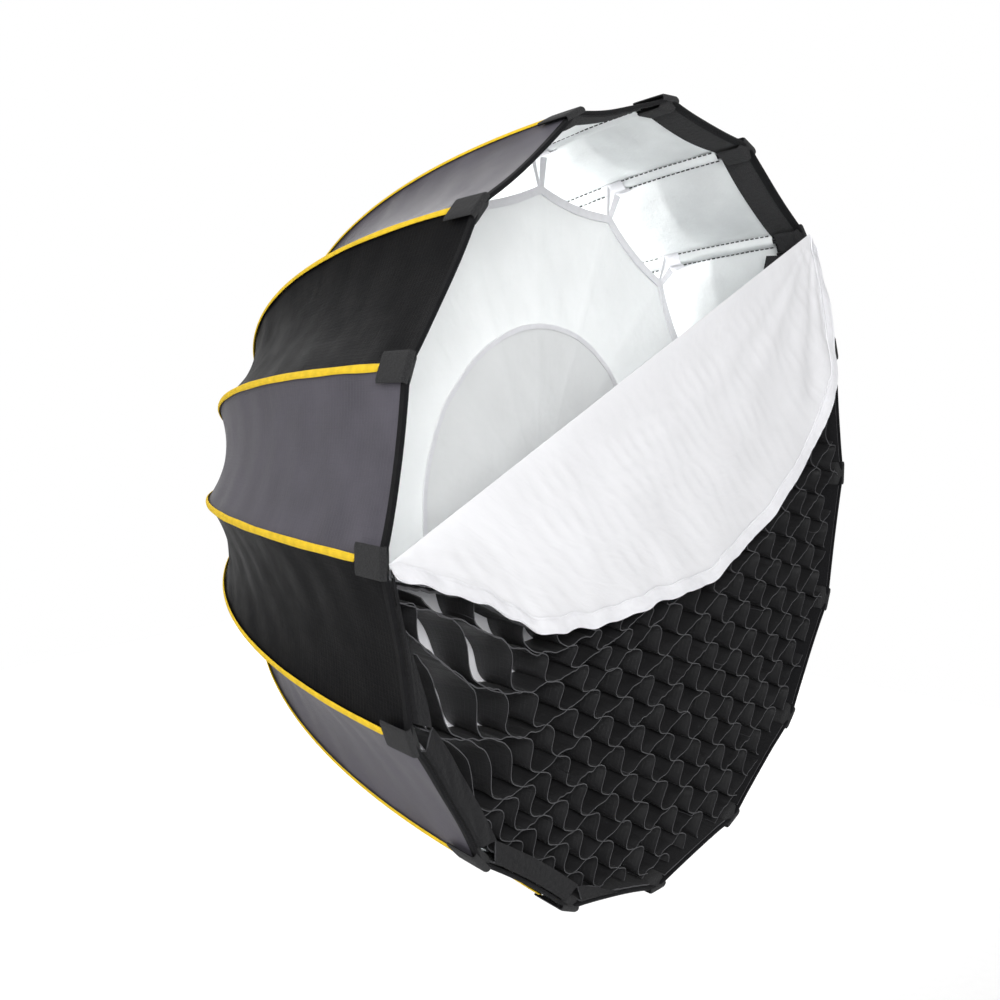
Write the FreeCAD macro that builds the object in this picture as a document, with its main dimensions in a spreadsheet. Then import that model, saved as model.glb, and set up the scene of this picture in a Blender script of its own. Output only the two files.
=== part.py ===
"""Deep 16-rib octabox: folding hub, rods, cloth canopy, baffle, front diffuser and honeycomb grid.

Millimetres. The origin is the centre of the adapter's mounting face, +Z is up, and light leaves
towards -Y. A "reach" is a distance forward of the mounting face, so it lies at Y = -reach.
Rib 1 is at the top and the others follow anticlockwise, seen from the front.
"""

import FreeCAD, Part
import Sketcher
import math
import os

from FreeCAD import Placement, Rotation, Vector

SIZES = [
    # the canopy
    ("side_count", 16, "ribs, and gores of cloth between them"),
    ("rim_radius", 450, "axis to a rim corner"),
    ("canopy_depth", 540, "rim plane to the cloth's small end"),
    ("rim_pole_radius", 401, "profile curve: second pole, radius"),
    ("rim_pole_depth", 322.6, "profile curve: second pole, depth"),
    ("hub_pole_radius", 275.4, "profile curve: third pole, radius"),
    ("hub_pole_depth", 555.3, "profile curve: third pole, depth"),
    ("canopy_small_radius", 99, "axis to the cloth's small end"),
    ("cloth_thick", 1.2, "canopy cloth with its coating and seams"),
    ("seam_gap", 0.6, "half of the gap between gores at a seam"),
    ("profile_steps", 14, "flat facets along each gore"),
    ("measure_steps", 40, "chords that measure a length along the profile"),
    ("search_steps", 30, "halvings that find a point from its length"),
    ("sewing_tolerance", 0.0001, "gap closed when faces are sewn"),
    ("sewing_limit", 0.001, "largest gap closed when faces are sewn"),
    ("sleeve_steps", 12, "facets, counted from the rim, where the rod sleeve ends"),
    ("touch_gap", 0.15, "gap between cloth pieces that lie on each other"),
    # trim on the canopy
    ("piping_width", 8.5, "piping across the seam"),
    ("piping_height", 3, "piping above the cloth"),
    ("pocket_width", 31, "corner pocket across the rib"),
    ("pocket_length", 38, "corner pocket back from the rim"),
    ("pocket_thick", 2, "corner pocket webbing"),
    ("pocket_inset", 12, "rim corner to the pocket's inner leaf"),
    ("pocket_clear", 2, "pocket's side to the bands beside it"),
    ("pocket_front_gap", 0.6, "rim to the pocket's front bend"),
    ("band_width", 40, "loop band and grid border back from the rim"),
    ("band_thick", 1.3, "loop band"),
    ("sleeve_inset", 10.4, "seam to the rod sleeve's cloth"),
    ("sleeve_width", 18, "rod sleeve across the rib"),
    # the rods and the hub that they fold on
    ("rod_radius", 2.5, "glass-fibre rod"),
    ("rod_inset", 7, "seam to the rod's centre line"),
    ("rod_aim", 0.88, "where along the profile the arm points, from 0 at the rim to 1 at the hub"),
    ("rod_aim_inset", 8, "seam to the point that the arm points at"),
    ("rod_tip_radius", 3.2, "moulded tip"),
    ("rod_tip_length", 14, "moulded tip"),
    ("rod_tip_inset", 17, "rim to the start of the rod's curve"),
    ("rod_tip_overlap", 2, "moulded tip beyond the start of the curve"),
    ("rod_end_gap", 0.3, "rod's end to the socket's closed end"),
    ("rod_points", 40, "points along the whole profile that shape the rod's curve"),
    ("rod_bend_room", 25, "socket's mouth to the nearest of those points, outward"),
    ("fit_gap", 0.05, "radial running clearance"),
    ("pivot_radius", 86, "axis to an arm's pin"),
    ("pivot_reach", 28, "mounting face to an arm's pin"),
    ("pin_radius", 2, "arm pin"),
    ("pin_length", 20, "arm pin"),
    ("arm_width", 8, "arm across the slot"),
    ("arm_boss_radius", 5.5, "arm round its pin"),
    ("arm_bar_length", 20, "pin to the socket"),
    ("arm_bar_height", 7, "arm between boss and socket"),
    ("arm_overlap", 1, "bar into its socket"),
    ("socket_radius", 4.6, "tube that holds the rod"),
    ("socket_floor", 1.5, "closed end of the tube"),
    ("socket_length", 34, "tube that holds the rod"),
    ("slot_half", 4.4, "half of a slot's width"),
    ("slot_inner", 77, "axis to a slot's inner end"),
    ("slot_outer", 100, "past the hub's edge"),
    ("slot_depth", 15, "slot back from the hub's front"),
    ("hub_outer", 97, "hub ring"),
    ("hub_inner", 64, "hub ring in front of the flange"),
    ("hub_back", 2.4, "hub ring's back face"),
    ("hub_front", 34, "hub ring's front face"),
    ("seat_radius", 74.3, "recess for the adapter's flange"),
    ("seat_front", 12.2, "recess for the adapter's flange"),
    ("retainer_inner", 63.4, "retaining ring"),
    ("retainer_outer", 95, "retaining ring"),
    ("retainer_back", 0.6, "retaining ring's back face"),
    ("cuff_inner", 97.4, "cuff that holds the cloth on the hub"),
    ("cuff_outer", 98.8, "cuff that holds the cloth on the hub"),
    ("cuff_back", 13.5, "cuff's back edge"),
    ("cuff_front", 19.5, "cuff's front edge"),
    ("cloth_small_reach", 20, "mounting face to the cloth's small end"),
    # screws and detents in the hub
    ("screw_circle", 85, "axis to a retaining screw"),
    ("screw_radius", 1.5, "retaining screw"),
    ("screw_head_radius", 2.8, "retaining screw"),
    ("screw_head_height", 1.6, "retaining screw"),
    ("screw_socket_radius", 1.1, "drive in a screw head"),
    ("screw_length", 9, "retaining screw under its head"),
    ("screw_count", 8, "retaining screws"),
    ("screw_offset", 0.25, "first retaining screw past the top, in screw spacings"),
    ("drill_margin", 1, "a drill's overshoot at each end"),
    ("least_cut", 0.01, "volume that a cut has to remove"),
    ("plunger_radius", 1.6, "detent plunger"),
    ("plunger_length", 7, "detent plunger"),
    ("plunger_circle", 81, "axis to a detent plunger"),
    # the adapter
    ("bore_radius", 49, "opening for the light"),
    ("boss_radius", 63, "mounting face"),
    ("mount_face", 0, "mounting face"),
    ("flange_radius", 74, "flange that turns in the hub"),
    ("flange_back", 2.5, "flange"),
    ("flange_front", 5.5, "flange"),
    ("drum_inner", 68, "drum that the clamp screw grips"),
    ("drum_front", 12, "drum that the clamp screw grips"),
    ("collar_radius", 51.5, "bayonet collar"),
    ("collar_length", 9, "bayonet collar behind the mounting face"),
    ("lug_radius", 56, "bayonet lug"),
    ("lug_thick", 2.2, "bayonet lug"),
    ("lug_angle", 38, "bayonet lug, degrees"),
    ("lug_count", 3, "bayonet lugs"),
    # the clamp
    ("clamp_angle", 213.75, "clamp screw from the top, anticlockwise"),
    ("clamp_reach", 8, "mounting face to the clamp screw"),
    ("clamp_screw_radius", 2.5, "clamp screw"),
    ("clamp_tip_radius", 74.2, "axis to the clamp screw's tip"),
    ("clamp_end_radius", 116, "axis to the clamp screw's outer end"),
    ("knob_radius", 8, "clamp knob"),
    ("knob_inner", 101, "axis to the knob's inner face"),
    ("knob_outer", 118, "axis to the knob's outer face"),
    ("knob_groove_radius", 1.3, "finger grooves in the knob"),
    ("knob_groove_count", 12, "finger grooves in the knob"),
    # the baffle
    ("baffle_reach", 378, "mounting face to the baffle"),
    ("baffle_radius", 366, "axis to a baffle corner"),
    ("baffle_thick", 0.8, "baffle cloth"),
    ("binding_width", 9, "bound edge of the baffle"),
    ("binding_thick", 2.4, "bound edge of the baffle"),
    ("binding_overhang", 1, "bound edge past the baffle's own edge"),
    ("patch_radius", 205.7, "round centre patch"),
    ("tab_width", 27, "baffle tab"),
    ("tab_clear", 2, "baffle corner to its tab"),
    ("tab_thick", 1.4, "baffle tab"),
    ("tab_outer", 395, "axis to a tab's outer end"),
    # the front diffuser and the grid
    ("front_radius", 427, "axis to a corner of the diffuser and of the grid"),
    ("diffuser_reach", 508, "mounting face to the fixed part of the diffuser"),
    ("diffuser_thick", 0.8, "diffuser cloth"),
    ("flap_corner_radius", 446, "axis to a corner of the peeled part"),
    ("flap_reach", 570, "mounting face to the peeled part"),
    ("hem_width", 20, "hook tape on the peeled part"),
    ("hem_thick", 1.6, "hook tape on the peeled part"),
    ("fold_first_corner", 14, "rim corner at the fold line's right end, counted from the top"),
    ("fold_last_corner", 4, "rim corner at the fold line's left end"),
    ("grid_front", 558, "mounting face to the grid's front edges"),
    ("grid_deep", 48, "grid strips along the axis"),
    ("grid_pitch", 56, "grid cell"),
    ("grid_strip", 1.2, "grid strip"),
    ("grid_top", 96, "centre to the grid's free edge"),
    ("grid_tilt", 22, "rise of the grid's long strips towards the right, degrees"),
    ("grid_inset", 6, "diffuser's corner to the grid's corner"),
    ("border_thick", 2, "grid border band"),
]

doc = FreeCAD.newDocument("octabox")
sheet = doc.addObject("Spreadsheet::Sheet", "sizes")
for row, (alias, number, meaning) in enumerate(SIZES, 1):
    sheet.set(f"A{row}", meaning)
    sheet.set(f"B{row}", str(number))
    sheet.setAlias(f"B{row}", alias)
doc.recompute()

finished = []


def size(alias):
    """The number in a cell, with its sign turned if the alias has a minus before it."""
    if alias.startswith("-"):
        return -float(sheet.get(alias[1:]))
    return float(sheet.get(alias))


def cell(alias):
    """The expression that binds a property to a cell."""
    return "-sizes." + alias[1:] if alias.startswith("-") else "sizes." + alias


SIDES = int(size("side_count"))
STEP = 360 / SIDES
RIM_REACH = size("cloth_small_reach") + size("canopy_depth")
FORWARD = Vector(0, -1, 0)


def outward(angle):
    """Unit vector away from the axis, at an angle from the top, anticlockwise from the front."""
    turn = math.radians(angle)
    return Vector(-math.sin(turn), 0, math.cos(turn))


def along_rim(angle):
    """Unit vector square to outward(angle) and to the axis."""
    turn = math.radians(angle)
    return Vector(-math.cos(turn), 0, -math.sin(turn))


def place(angle, radius, reach):
    """The point at that angle, distance from the axis and reach."""
    return outward(angle) * radius + FORWARD * reach


def keep(piece, name):
    """Marks a document object as a finished sub-part."""
    piece.Label = name
    finished.append(piece)
    return piece


def stored(name, shapes):
    """A sub-part from solids made with Part's functions, one or several."""
    piece = doc.addObject("Part::Feature", name)
    piece.Shape = shapes[0] if len(shapes) == 1 else Part.makeCompound(shapes)
    return keep(piece, name)


# ---------------------------------------------------------------- the canopy's profile


def profile_poles():
    """Poles of the rib profile, rim first, as (radius, reach)."""
    return [
        (size("rim_radius"), RIM_REACH),
        (size("rim_pole_radius"), RIM_REACH - size("rim_pole_depth")),
        (size("hub_pole_radius"), RIM_REACH - size("hub_pole_depth")),
        (size("canopy_small_radius"), size("cloth_small_reach")),
    ]


def profile_point(t, inset=0):
    """Point on the rib profile, t from 0 at the rim to 1 at the hub, moved in from the cloth."""
    weights = [(1 - t) ** 3, 3 * t * (1 - t) ** 2, 3 * t * t * (1 - t), t**3]
    slopes = [-3 * (1 - t) ** 2, 3 * (1 - t) * (1 - 3 * t), 3 * t * (2 - 3 * t), 3 * t * t]
    poles = profile_poles()
    radius = sum(w * p[0] for w, p in zip(weights, poles))
    reach = sum(w * p[1] for w, p in zip(weights, poles))
    d_radius = sum(w * p[0] for w, p in zip(slopes, poles))
    d_reach = sum(w * p[1] for w, p in zip(slopes, poles))
    length = math.hypot(d_radius, d_reach)
    return radius + inset * d_reach / length, reach - inset * d_radius / length


def profile_length(first, last):
    """Length along the profile between two values of t."""
    steps = int(size("measure_steps"))
    points = [profile_point(first + (last - first) * i / steps) for i in range(steps + 1)]
    return sum(math.dist(a, b) for a, b in zip(points, points[1:]))


def profile_at(length):
    """The value of t that far back from the rim along the profile."""
    low, high = 0.0, 1.0
    for _ in range(int(size("search_steps"))):
        middle = (low + high) / 2
        if profile_length(0, middle) < length:
            low = middle
        else:
            high = middle
    return low


def profile_marks():
    """Values of t where the canopy's facets meet: the rim, the band's edge, then even steps."""
    steps = int(size("profile_steps")) - 1
    start = profile_at(size("band_width"))
    return [0.0] + [start + (1 - start) * i / steps for i in range(steps + 1)]


def solid_of(faces):
    """A solid from its flat faces, each a list of corners."""
    made = [Part.Face(Part.makePolygon(corners + corners[:1])) for corners in faces]
    solid = Part.Solid(Part.Shell(made))
    tolerance = size("sewing_tolerance")
    solid.fix(tolerance, tolerance, size("sewing_limit"))
    return solid


def gore_layer(index, marks, near, far, side_gap):
    """Cloth between two ribs, along those values of t, between two distances in from the canopy."""
    low_angle, high_angle = index * STEP, (index + 1) * STEP
    low_dir, high_dir = outward(low_angle), outward(high_angle)
    chord = (high_dir - low_dir).normalize()
    corner_scale = math.cos(math.radians(STEP / 2))
    rows = []
    for t in marks:
        row = []
        for inset in (near, far):
            radius, reach = profile_point(t, inset / corner_scale)
            low = low_dir * radius + FORWARD * reach + chord * side_gap
            high = high_dir * radius + FORWARD * reach - chord * side_gap
            row += [low, high]
        rows.append(row)
    faces = [[rows[0][0], rows[0][1], rows[0][3], rows[0][2]]]
    faces.append([rows[-1][0], rows[-1][2], rows[-1][3], rows[-1][1]])
    for a, b in zip(rows, rows[1:]):
        faces.append([a[0], b[0], b[1], a[1]])
        faces.append([a[2], a[3], b[3], b[2]])
    for low_side in (0, 1):
        order = [row[low_side] for row in rows] + [row[low_side + 2] for row in reversed(rows)]
        faces.append(order)
    return solid_of(faces)


def rib_strip(index, marks, near, far, width):
    """Band of cloth over a rib, between two distances in from the seam (negative is outside)."""
    outer = [profile_point(t, near) for t in marks]
    inner = [profile_point(t, far) for t in marks]
    angle = index * STEP
    shift = along_rim(angle) * (-width / 2)
    corners = [place(angle, *point) + shift for point in outer + inner[::-1]]
    face = Part.Face(Part.makePolygon(corners + corners[:1]))
    return face.extrude(along_rim(angle) * width)


def flat_plate(corners, reach, thick):
    """Plate square to the axis from its corners in the X-Z plane, its back face at that reach."""
    base = [corner + FORWARD * reach for corner in corners]
    return Part.Face(Part.makePolygon(base + base[:1])).extrude(FORWARD * thick)


def polygon(radius, first=0, last=None):
    """Corners of the 16-sided front, at the ribs."""
    last = SIDES - 1 if last is None else last
    return [outward(i * STEP) * radius for i in range(first, last + 1)]


# ---------------------------------------------------------------- cloth pieces


def make_canopy():
    thick = size("cloth_thick")
    marks = profile_marks()
    gores = [gore_layer(i, marks, 0, thick, size("seam_gap")) for i in range(SIDES)]
    stored("canopy_black_gores", gores[0::2])
    stored("canopy_charcoal_gores", gores[1::2])


def make_canopy_trim():
    marks = profile_marks()
    gap, thick = size("touch_gap"), size("cloth_thick")
    piping_top = -gap - size("piping_height")
    sleeve_top = size("sleeve_inset") + thick
    sleeve_marks = marks[1 : int(size("sleeve_steps")) + 1]
    band_top = thick + gap
    band_bottom = band_top + size("band_thick")
    pocket_end = profile_at(size("pocket_length"))
    side_gap = size("pocket_width") / 2 + size("pocket_clear")
    piping, pockets, sleeves, band = [], [], [], []
    for i in range(SIDES):
        piping.append(rib_strip(i, marks[1:-1], piping_top, -gap, size("piping_width")))
        sleeves.append(rib_strip(i, sleeve_marks, size("sleeve_inset"), sleeve_top, size("sleeve_width")))
        pockets.append(corner_pocket(i, pocket_end))
        band.append(gore_layer(i, marks[:2], band_top, band_bottom, side_gap))
    stored("seam_piping", piping)
    stored("rod_sleeves", sleeves)
    stored("corner_pockets", pockets)
    stored("rim_loop_band", band)


def corner_pocket(index, end):
    """Webbing folded over a rim corner: an outer leaf, a front bend and an inner leaf."""
    thick, gap, inset = size("pocket_thick"), size("touch_gap"), size("pocket_inset")
    angle, width = index * STEP, size("pocket_width")
    bend = RIM_REACH + size("pocket_front_gap")
    points = [
        profile_point(end, -gap - thick),
        profile_point(0, -gap - thick),
        profile_point(0, inset + thick),
        profile_point(end, inset + thick),
        profile_point(end, inset),
        profile_point(0, inset),
        profile_point(0, -gap),
        profile_point(end, -gap),
    ]
    for corner, reach in ((1, bend + thick), (2, bend + thick), (5, bend), (6, bend)):
        points[corner] = (points[corner][0], reach)
    shift = along_rim(angle) * (-width / 2)
    corners = [place(angle, *point) + shift for point in points]
    face = Part.Face(Part.makePolygon(corners + corners[:1]))
    return face.extrude(along_rim(angle) * width)


def make_baffle():
    reach, thick, gap = size("baffle_reach"), size("baffle_thick"), size("touch_gap")
    radius = size("baffle_radius")
    stored("inner_baffle", [flat_plate(polygon(radius), reach, thick)])
    patch = Part.makeCylinder(size("patch_radius"), thick, FORWARD * (reach + thick + gap), FORWARD)
    stored("baffle_patch", [patch])
    bind = size("binding_thick")
    outer = flat_plate(polygon(radius + size("binding_overhang")), reach + thick + gap, bind)
    inner = flat_plate(polygon(radius - size("binding_width")), reach, 3 * bind)
    stored("baffle_binding", [outer.cut(inner)])
    tabs = []
    start = radius + size("tab_clear")
    for i in range(SIDES):
        tab = Part.makeBox(size("tab_outer") - start, size("tab_width"), size("tab_thick"))
        tab.translate(Vector(start, -size("tab_width") / 2, reach))
        tab.Placement = Placement(Vector(), frame_turn(i * STEP)).multiply(tab.Placement)
        tabs.append(tab)
    stored("baffle_tabs", tabs)


def frame_turn(angle):
    """Rotation that takes X to outward(angle), and Z to the front."""
    return Rotation(outward(angle), along_rim(angle), FORWARD, "XYZ")


def fold_corners(radius):
    """The corners on the peeled side of the fold line, from its right end to its left end."""
    first, last = int(size("fold_first_corner")), int(size("fold_last_corner"))
    return [outward(i * STEP) * radius for i in range(first - SIDES, last + 1)]


def folded_down(point, ends):
    """The point's mirror image in the fold line."""
    run = (ends[1] - ends[0]).normalize()
    offset = point - ends[0]
    return ends[0] + run * (2 * offset.dot(run)) - offset


def make_diffuser():
    first, last = int(size("fold_first_corner")), int(size("fold_last_corner"))
    fixed = polygon(size("front_radius"), last, first)
    stored("diffuser_fixed_part", [flat_plate(fixed, size("diffuser_reach"), size("diffuser_thick"))])

    upper = fold_corners(size("flap_corner_radius"))
    ends = (upper[0], upper[-1])
    lowered = [folded_down(point, ends) for point in upper]
    thick, reach = size("diffuser_thick"), size("flap_reach")
    stored("diffuser_flap", [flat_plate(lowered, reach, thick)])

    inner = fold_corners(size("flap_corner_radius") - size("hem_width"))
    inner_lowered = [folded_down(point, ends) for point in inner]
    outline = lowered + inner_lowered[::-1]
    hem = flat_plate(outline, reach + thick + size("touch_gap"), size("hem_thick"))
    stored("flap_hook_tape", [hem])


def grid_area():
    """The space that the grid fills: the mouth, up to its free edge beside the fold line."""
    first, last = int(size("fold_first_corner")), int(size("fold_last_corner"))
    front, deep, half = size("grid_front"), size("grid_deep"), size("rim_radius")
    mouth = flat_plate(polygon(size("front_radius") - size("grid_inset")), front - deep, deep)
    below = Part.makeBox(2 * half, deep, 2 * half, Vector(-half, -front, size("grid_top") - 2 * half))
    fold_lean = (last + first - SIDES) / 2 * STEP
    below.Placement = Placement(Vector(), Rotation(Vector(0, 1, 0), -fold_lean))
    return mouth.common(below)


def make_grid():
    """Crossed strips inside the border, in the part of the mouth below the fold."""
    front, deep, half = size("grid_front"), size("grid_deep"), size("rim_radius")
    pitch, strip = size("grid_pitch"), size("grid_strip")
    count = int(half / pitch)
    strips = []
    for rise in (size("grid_tilt"), size("grid_tilt") + 90):
        turn = Placement(Vector(), Rotation(Vector(0, 1, 0), -rise))
        for i in range(-count, count + 1):
            box = Part.makeBox(2 * half, deep, strip)
            box.translate(Vector(-half, -front, i * pitch - strip / 2))
            box.Placement = turn.multiply(box.Placement)
            strips.append(box)
    lattice = strips[0].multiFuse(strips[1:]).common(grid_area()).removeSplitter()
    stored("grid_strips", lattice.Solids)


def make_grid_border():
    inset = size("cloth_thick") + size("band_thick") + 3 * size("touch_gap")
    side_gap = size("pocket_width") / 2 + size("pocket_clear")
    bottom = inset + size("border_thick")
    rim_corners = range(int(size("fold_last_corner")), int(size("fold_first_corner")))
    border = [gore_layer(i, profile_marks()[:2], inset, bottom, side_gap) for i in rim_corners]
    stored("grid_border", border)


# ---------------------------------------------------------------- rods and arms


def arm_direction():
    """Unit vector from the arm's pin to its socket, in rib 1's plane."""
    pin = place(0, size("pivot_radius"), size("pivot_reach"))
    target = place(0, *profile_point(size("rod_aim"), size("rod_aim_inset")))
    return (target - pin).normalize()


def socket_mouth():
    """The centre of the socket's open end, in rib 1's plane."""
    start = size("arm_bar_length") + size("socket_length")
    return place(0, size("pivot_radius"), size("pivot_reach")) + arm_direction() * start


def rod_solid():
    """A rod in rib 1's plane: straight in its socket, curved along the canopy, with a moulded tip."""
    radius, inset = size("rod_radius"), size("rod_inset")
    mouth, direction = socket_mouth(), arm_direction()
    held = size("socket_length") - size("socket_floor") - size("rod_end_gap")
    straight = Part.makeCylinder(radius, held, mouth - direction * held, direction)

    start = place(0, *profile_point(profile_at(size("rod_tip_inset")), inset))
    count = int(size("rod_points"))
    along = [place(0, *profile_point(i / count, inset)) for i in range(count)]
    innermost = mouth.z + size("rod_bend_room")
    outermost = start.z - size("rod_tip_overlap") * 2
    points = [start] + [point for point in along if innermost < point.z < outermost] + [mouth]
    leaving = (points[1] - start).normalize()
    curve = Part.BSplineCurve()
    curve.interpolate(points, InitialTangent=leaving, FinalTangent=direction * -1)
    ring = Part.Wire([Part.Circle(start, leaving, radius).toShape()])
    bent = Part.Wire([curve.toShape()]).makePipeShell([ring], True, True)

    tip_start = start + leaving * size("rod_tip_overlap")
    tip = Part.makeCylinder(size("rod_tip_radius"), size("rod_tip_length"), tip_start, leaving * -1)
    return bent.fuse([straight, tip]).removeSplitter()


def primitive(kind, name, links, placement):
    """A Part primitive whose sizes are bound to cells."""
    piece = doc.addObject(kind, name)
    for prop, alias in links.items():
        piece.setExpression(prop, cell(alias))
    piece.Placement = placement
    return piece


def make_arm(index, name):
    """A folding arm: boss round the pin, bar, and the tube that holds the rod."""
    direction = arm_direction()
    pin = place(0, size("pivot_radius"), size("pivot_reach"))
    half = size("arm_width") / 2
    across = Vector(1, 0, 0)
    side_on = Rotation(Vector(0, 0, 1), across)
    along = Rotation(across, direction.cross(across), direction, "XYZ")
    boss = primitive(
        "Part::Cylinder",
        name + "_boss",
        {"Radius": "arm_boss_radius", "Height": "arm_width"},
        Placement(pin - across * half, side_on),
    )
    corner = pin - across * half - direction.cross(across) * (size("arm_bar_height") / 2)
    bar = primitive(
        "Part::Box",
        name + "_bar",
        {"Length": "arm_width", "Width": "arm_bar_height"},
        Placement(corner, along),
    )
    bar.setExpression("Height", "sizes.arm_bar_length + sizes.arm_overlap")
    mouth = socket_mouth()
    tube = primitive(
        "Part::Cylinder",
        name + "_socket",
        {"Radius": "socket_radius", "Height": "socket_length"},
        Placement(mouth - direction * size("socket_length"), along),
    )
    pin_hole = primitive(
        "Part::Cylinder", name + "_pin_hole", {}, Placement(pin - across * 2 * half, side_on)
    )
    pin_hole.setExpression("Radius", "sizes.pin_radius + sizes.fit_gap")
    pin_hole.setExpression("Height", "2 * sizes.arm_width")
    rod_hole = primitive(
        "Part::Cylinder",
        name + "_rod_hole",
        {"Height": "socket_length"},
        Placement(mouth - direction * (size("socket_length") - size("socket_floor")), along),
    )
    rod_hole.setExpression("Radius", "sizes.rod_radius + sizes.fit_gap")
    body = doc.addObject("Part::MultiFuse", name + "_blank")
    body.Shapes = [boss, bar, tube]
    holes = doc.addObject("Part::MultiFuse", name + "_holes")
    holes.Shapes = [pin_hole, rod_hole]
    arm = doc.addObject("Part::Cut", name)
    arm.Base = body
    arm.Tool = holes
    arm.Placement = rib_turn(index)
    return keep(arm, name)


def rib_turn(index):
    """Takes rib 1's plane to another rib's."""
    return Placement(Vector(), Rotation(Vector(0, 1, 0), -index * STEP))


def make_ribs():
    rod = rod_solid()
    for i in range(SIDES):
        make_arm(i, f"rib_arm_{i + 1:02d}")
        piece = stored(f"rib_rod_{i + 1:02d}", [rod])
        piece.Placement = rib_turn(i)


# ---------------------------------------------------------------- turned and milled parts


def new_body(name):
    return doc.addObject("PartDesign::Body", name)


def origin_of(body, role):
    return next(item for item in body.Origin.OriginFeatures if item.Role == role)


def new_sketch(body, plane, name, offset=None):
    """A sketch on one of the body's own planes, moved along its normal by a cell."""
    sketch = body.newObject("Sketcher::SketchObject", name)
    sketch.AttachmentSupport = [(origin_of(body, plane), "")]
    sketch.MapMode = "FlatFace"
    if offset:
        sketch.AttachmentOffset = Placement(Vector(0, 0, size(offset)), Rotation())
        sketch.setExpression("AttachmentOffset.Base.z", cell(offset))
    return sketch


def outline(sketch, corners):
    """Closed outline of lines, each corner held to two cells of the sheet."""
    count = len(corners)
    points = [Vector(size(x), size(y), 0) for x, y in corners]
    for i in range(count):
        sketch.addGeometry(Part.LineSegment(points[i], points[(i + 1) % count]), False)
    for i in range(count):
        sketch.addConstraint(Sketcher.Constraint("Coincident", i, 2, (i + 1) % count, 1))
    for i, (x, y) in enumerate(corners):
        hold(sketch, "DistanceX", i, points[i].x, x)
        hold(sketch, "DistanceY", i, points[i].y, y)


def hold(sketch, kind, geometry, value, alias):
    index = sketch.addConstraint(Sketcher.Constraint(kind, -1, 1, geometry, 1, value))
    sketch.setExpression(f"Constraints[{index}]", cell(alias))


def revolve(body, corners, name):
    """Turns an outline in the X-Y plane about the Y axis."""
    sketch = new_sketch(body, "XY_Plane", name + "_outline")
    outline(sketch, corners)
    turned = body.newObject("PartDesign::Revolution", name)
    turned.Profile = sketch
    turned.ReferenceAxis = (sketch, ["V_Axis"])
    turned.Angle = 360
    sketch.Visibility = False
    return turned


def repeat(body, feature, alias, name, role="Y_Axis"):
    """Repeats a feature about the axis, and makes the pattern the body's tip."""
    pattern = body.newObject("PartDesign::PolarPattern", name)
    pattern.Originals = [feature]
    pattern.Axis = (origin_of(body, role), [""])
    pattern.Angle = 360
    pattern.setExpression("Occurrences", cell(alias))
    body.Tip = pattern
    return pattern


def round_sketch(body, plane, name, x, y, radius, offset=None):
    """A sketch of one circle whose centre and radius are cells."""
    sketch = new_sketch(body, plane, name, offset)
    centre = Vector(size(x), size(y), 0)
    sketch.addGeometry(Part.Circle(centre, Vector(0, 0, 1), size(radius)), False)
    for kind, value, alias in (("DistanceX", centre.x, x), ("DistanceY", centre.y, y)):
        index = sketch.addConstraint(Sketcher.Constraint(kind, -1, 1, 0, 3, value))
        sketch.setExpression(f"Constraints[{index}]", cell(alias))
    index = sketch.addConstraint(Sketcher.Constraint("Radius", 0, size(radius)))
    sketch.setExpression(f"Constraints[{index}]", cell(radius))
    return sketch


def pocket(body, sketch, name, length, both_ways=False):
    """Cuts a sketch into the body, and checks that it removes something."""
    doc.recompute()
    before = body.Shape.Volume
    cut = body.newObject("PartDesign::Pocket", name)
    cut.Profile = sketch
    cut.Type = "Length"
    cut.setExpression("Length", cell(length))
    if both_ways:
        cut.SideType = "Symmetric"
    doc.recompute()
    if body.Shape.Volume >= before - size("least_cut"):
        raise RuntimeError(f"{name} cuts nothing")
    return cut


def make_hub_ring():
    body = new_body("hub_ring_blank")
    corners = [
        ("hub_inner", "-seat_front"),
        ("hub_inner", "-hub_front"),
        ("hub_outer", "-hub_front"),
        ("hub_outer", "-hub_back"),
        ("seat_radius", "-hub_back"),
        ("seat_radius", "-seat_front"),
    ]
    revolve(body, corners, "hub_turned")
    slot = new_sketch(body, "XZ_Plane", "slot_outline", "hub_front")
    outline(
        slot,
        [
            ("-slot_half", "slot_inner"),
            ("slot_half", "slot_inner"),
            ("slot_half", "slot_outer"),
            ("-slot_half", "slot_outer"),
        ],
    )
    slot_cut = pocket(body, slot, "slot", "slot_depth")
    repeat(body, slot_cut, "side_count", "slots")
    bore = round_sketch(body, "YZ_Plane", "pin_circle", "-pivot_reach", "pivot_radius", "pin_radius")
    bore_cut = pocket(body, bore, "pin_bore", "pin_length", True)
    repeat(body, bore_cut, "side_count", "pin_bores")
    return body


def make_retainer():
    body = new_body("retaining_ring_blank")
    corners = [
        ("retainer_inner", "-hub_back"),
        ("retainer_outer", "-hub_back"),
        ("retainer_outer", "-retainer_back"),
        ("retainer_inner", "-retainer_back"),
    ]
    revolve(body, corners, "retainer_turned")
    return body


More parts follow.
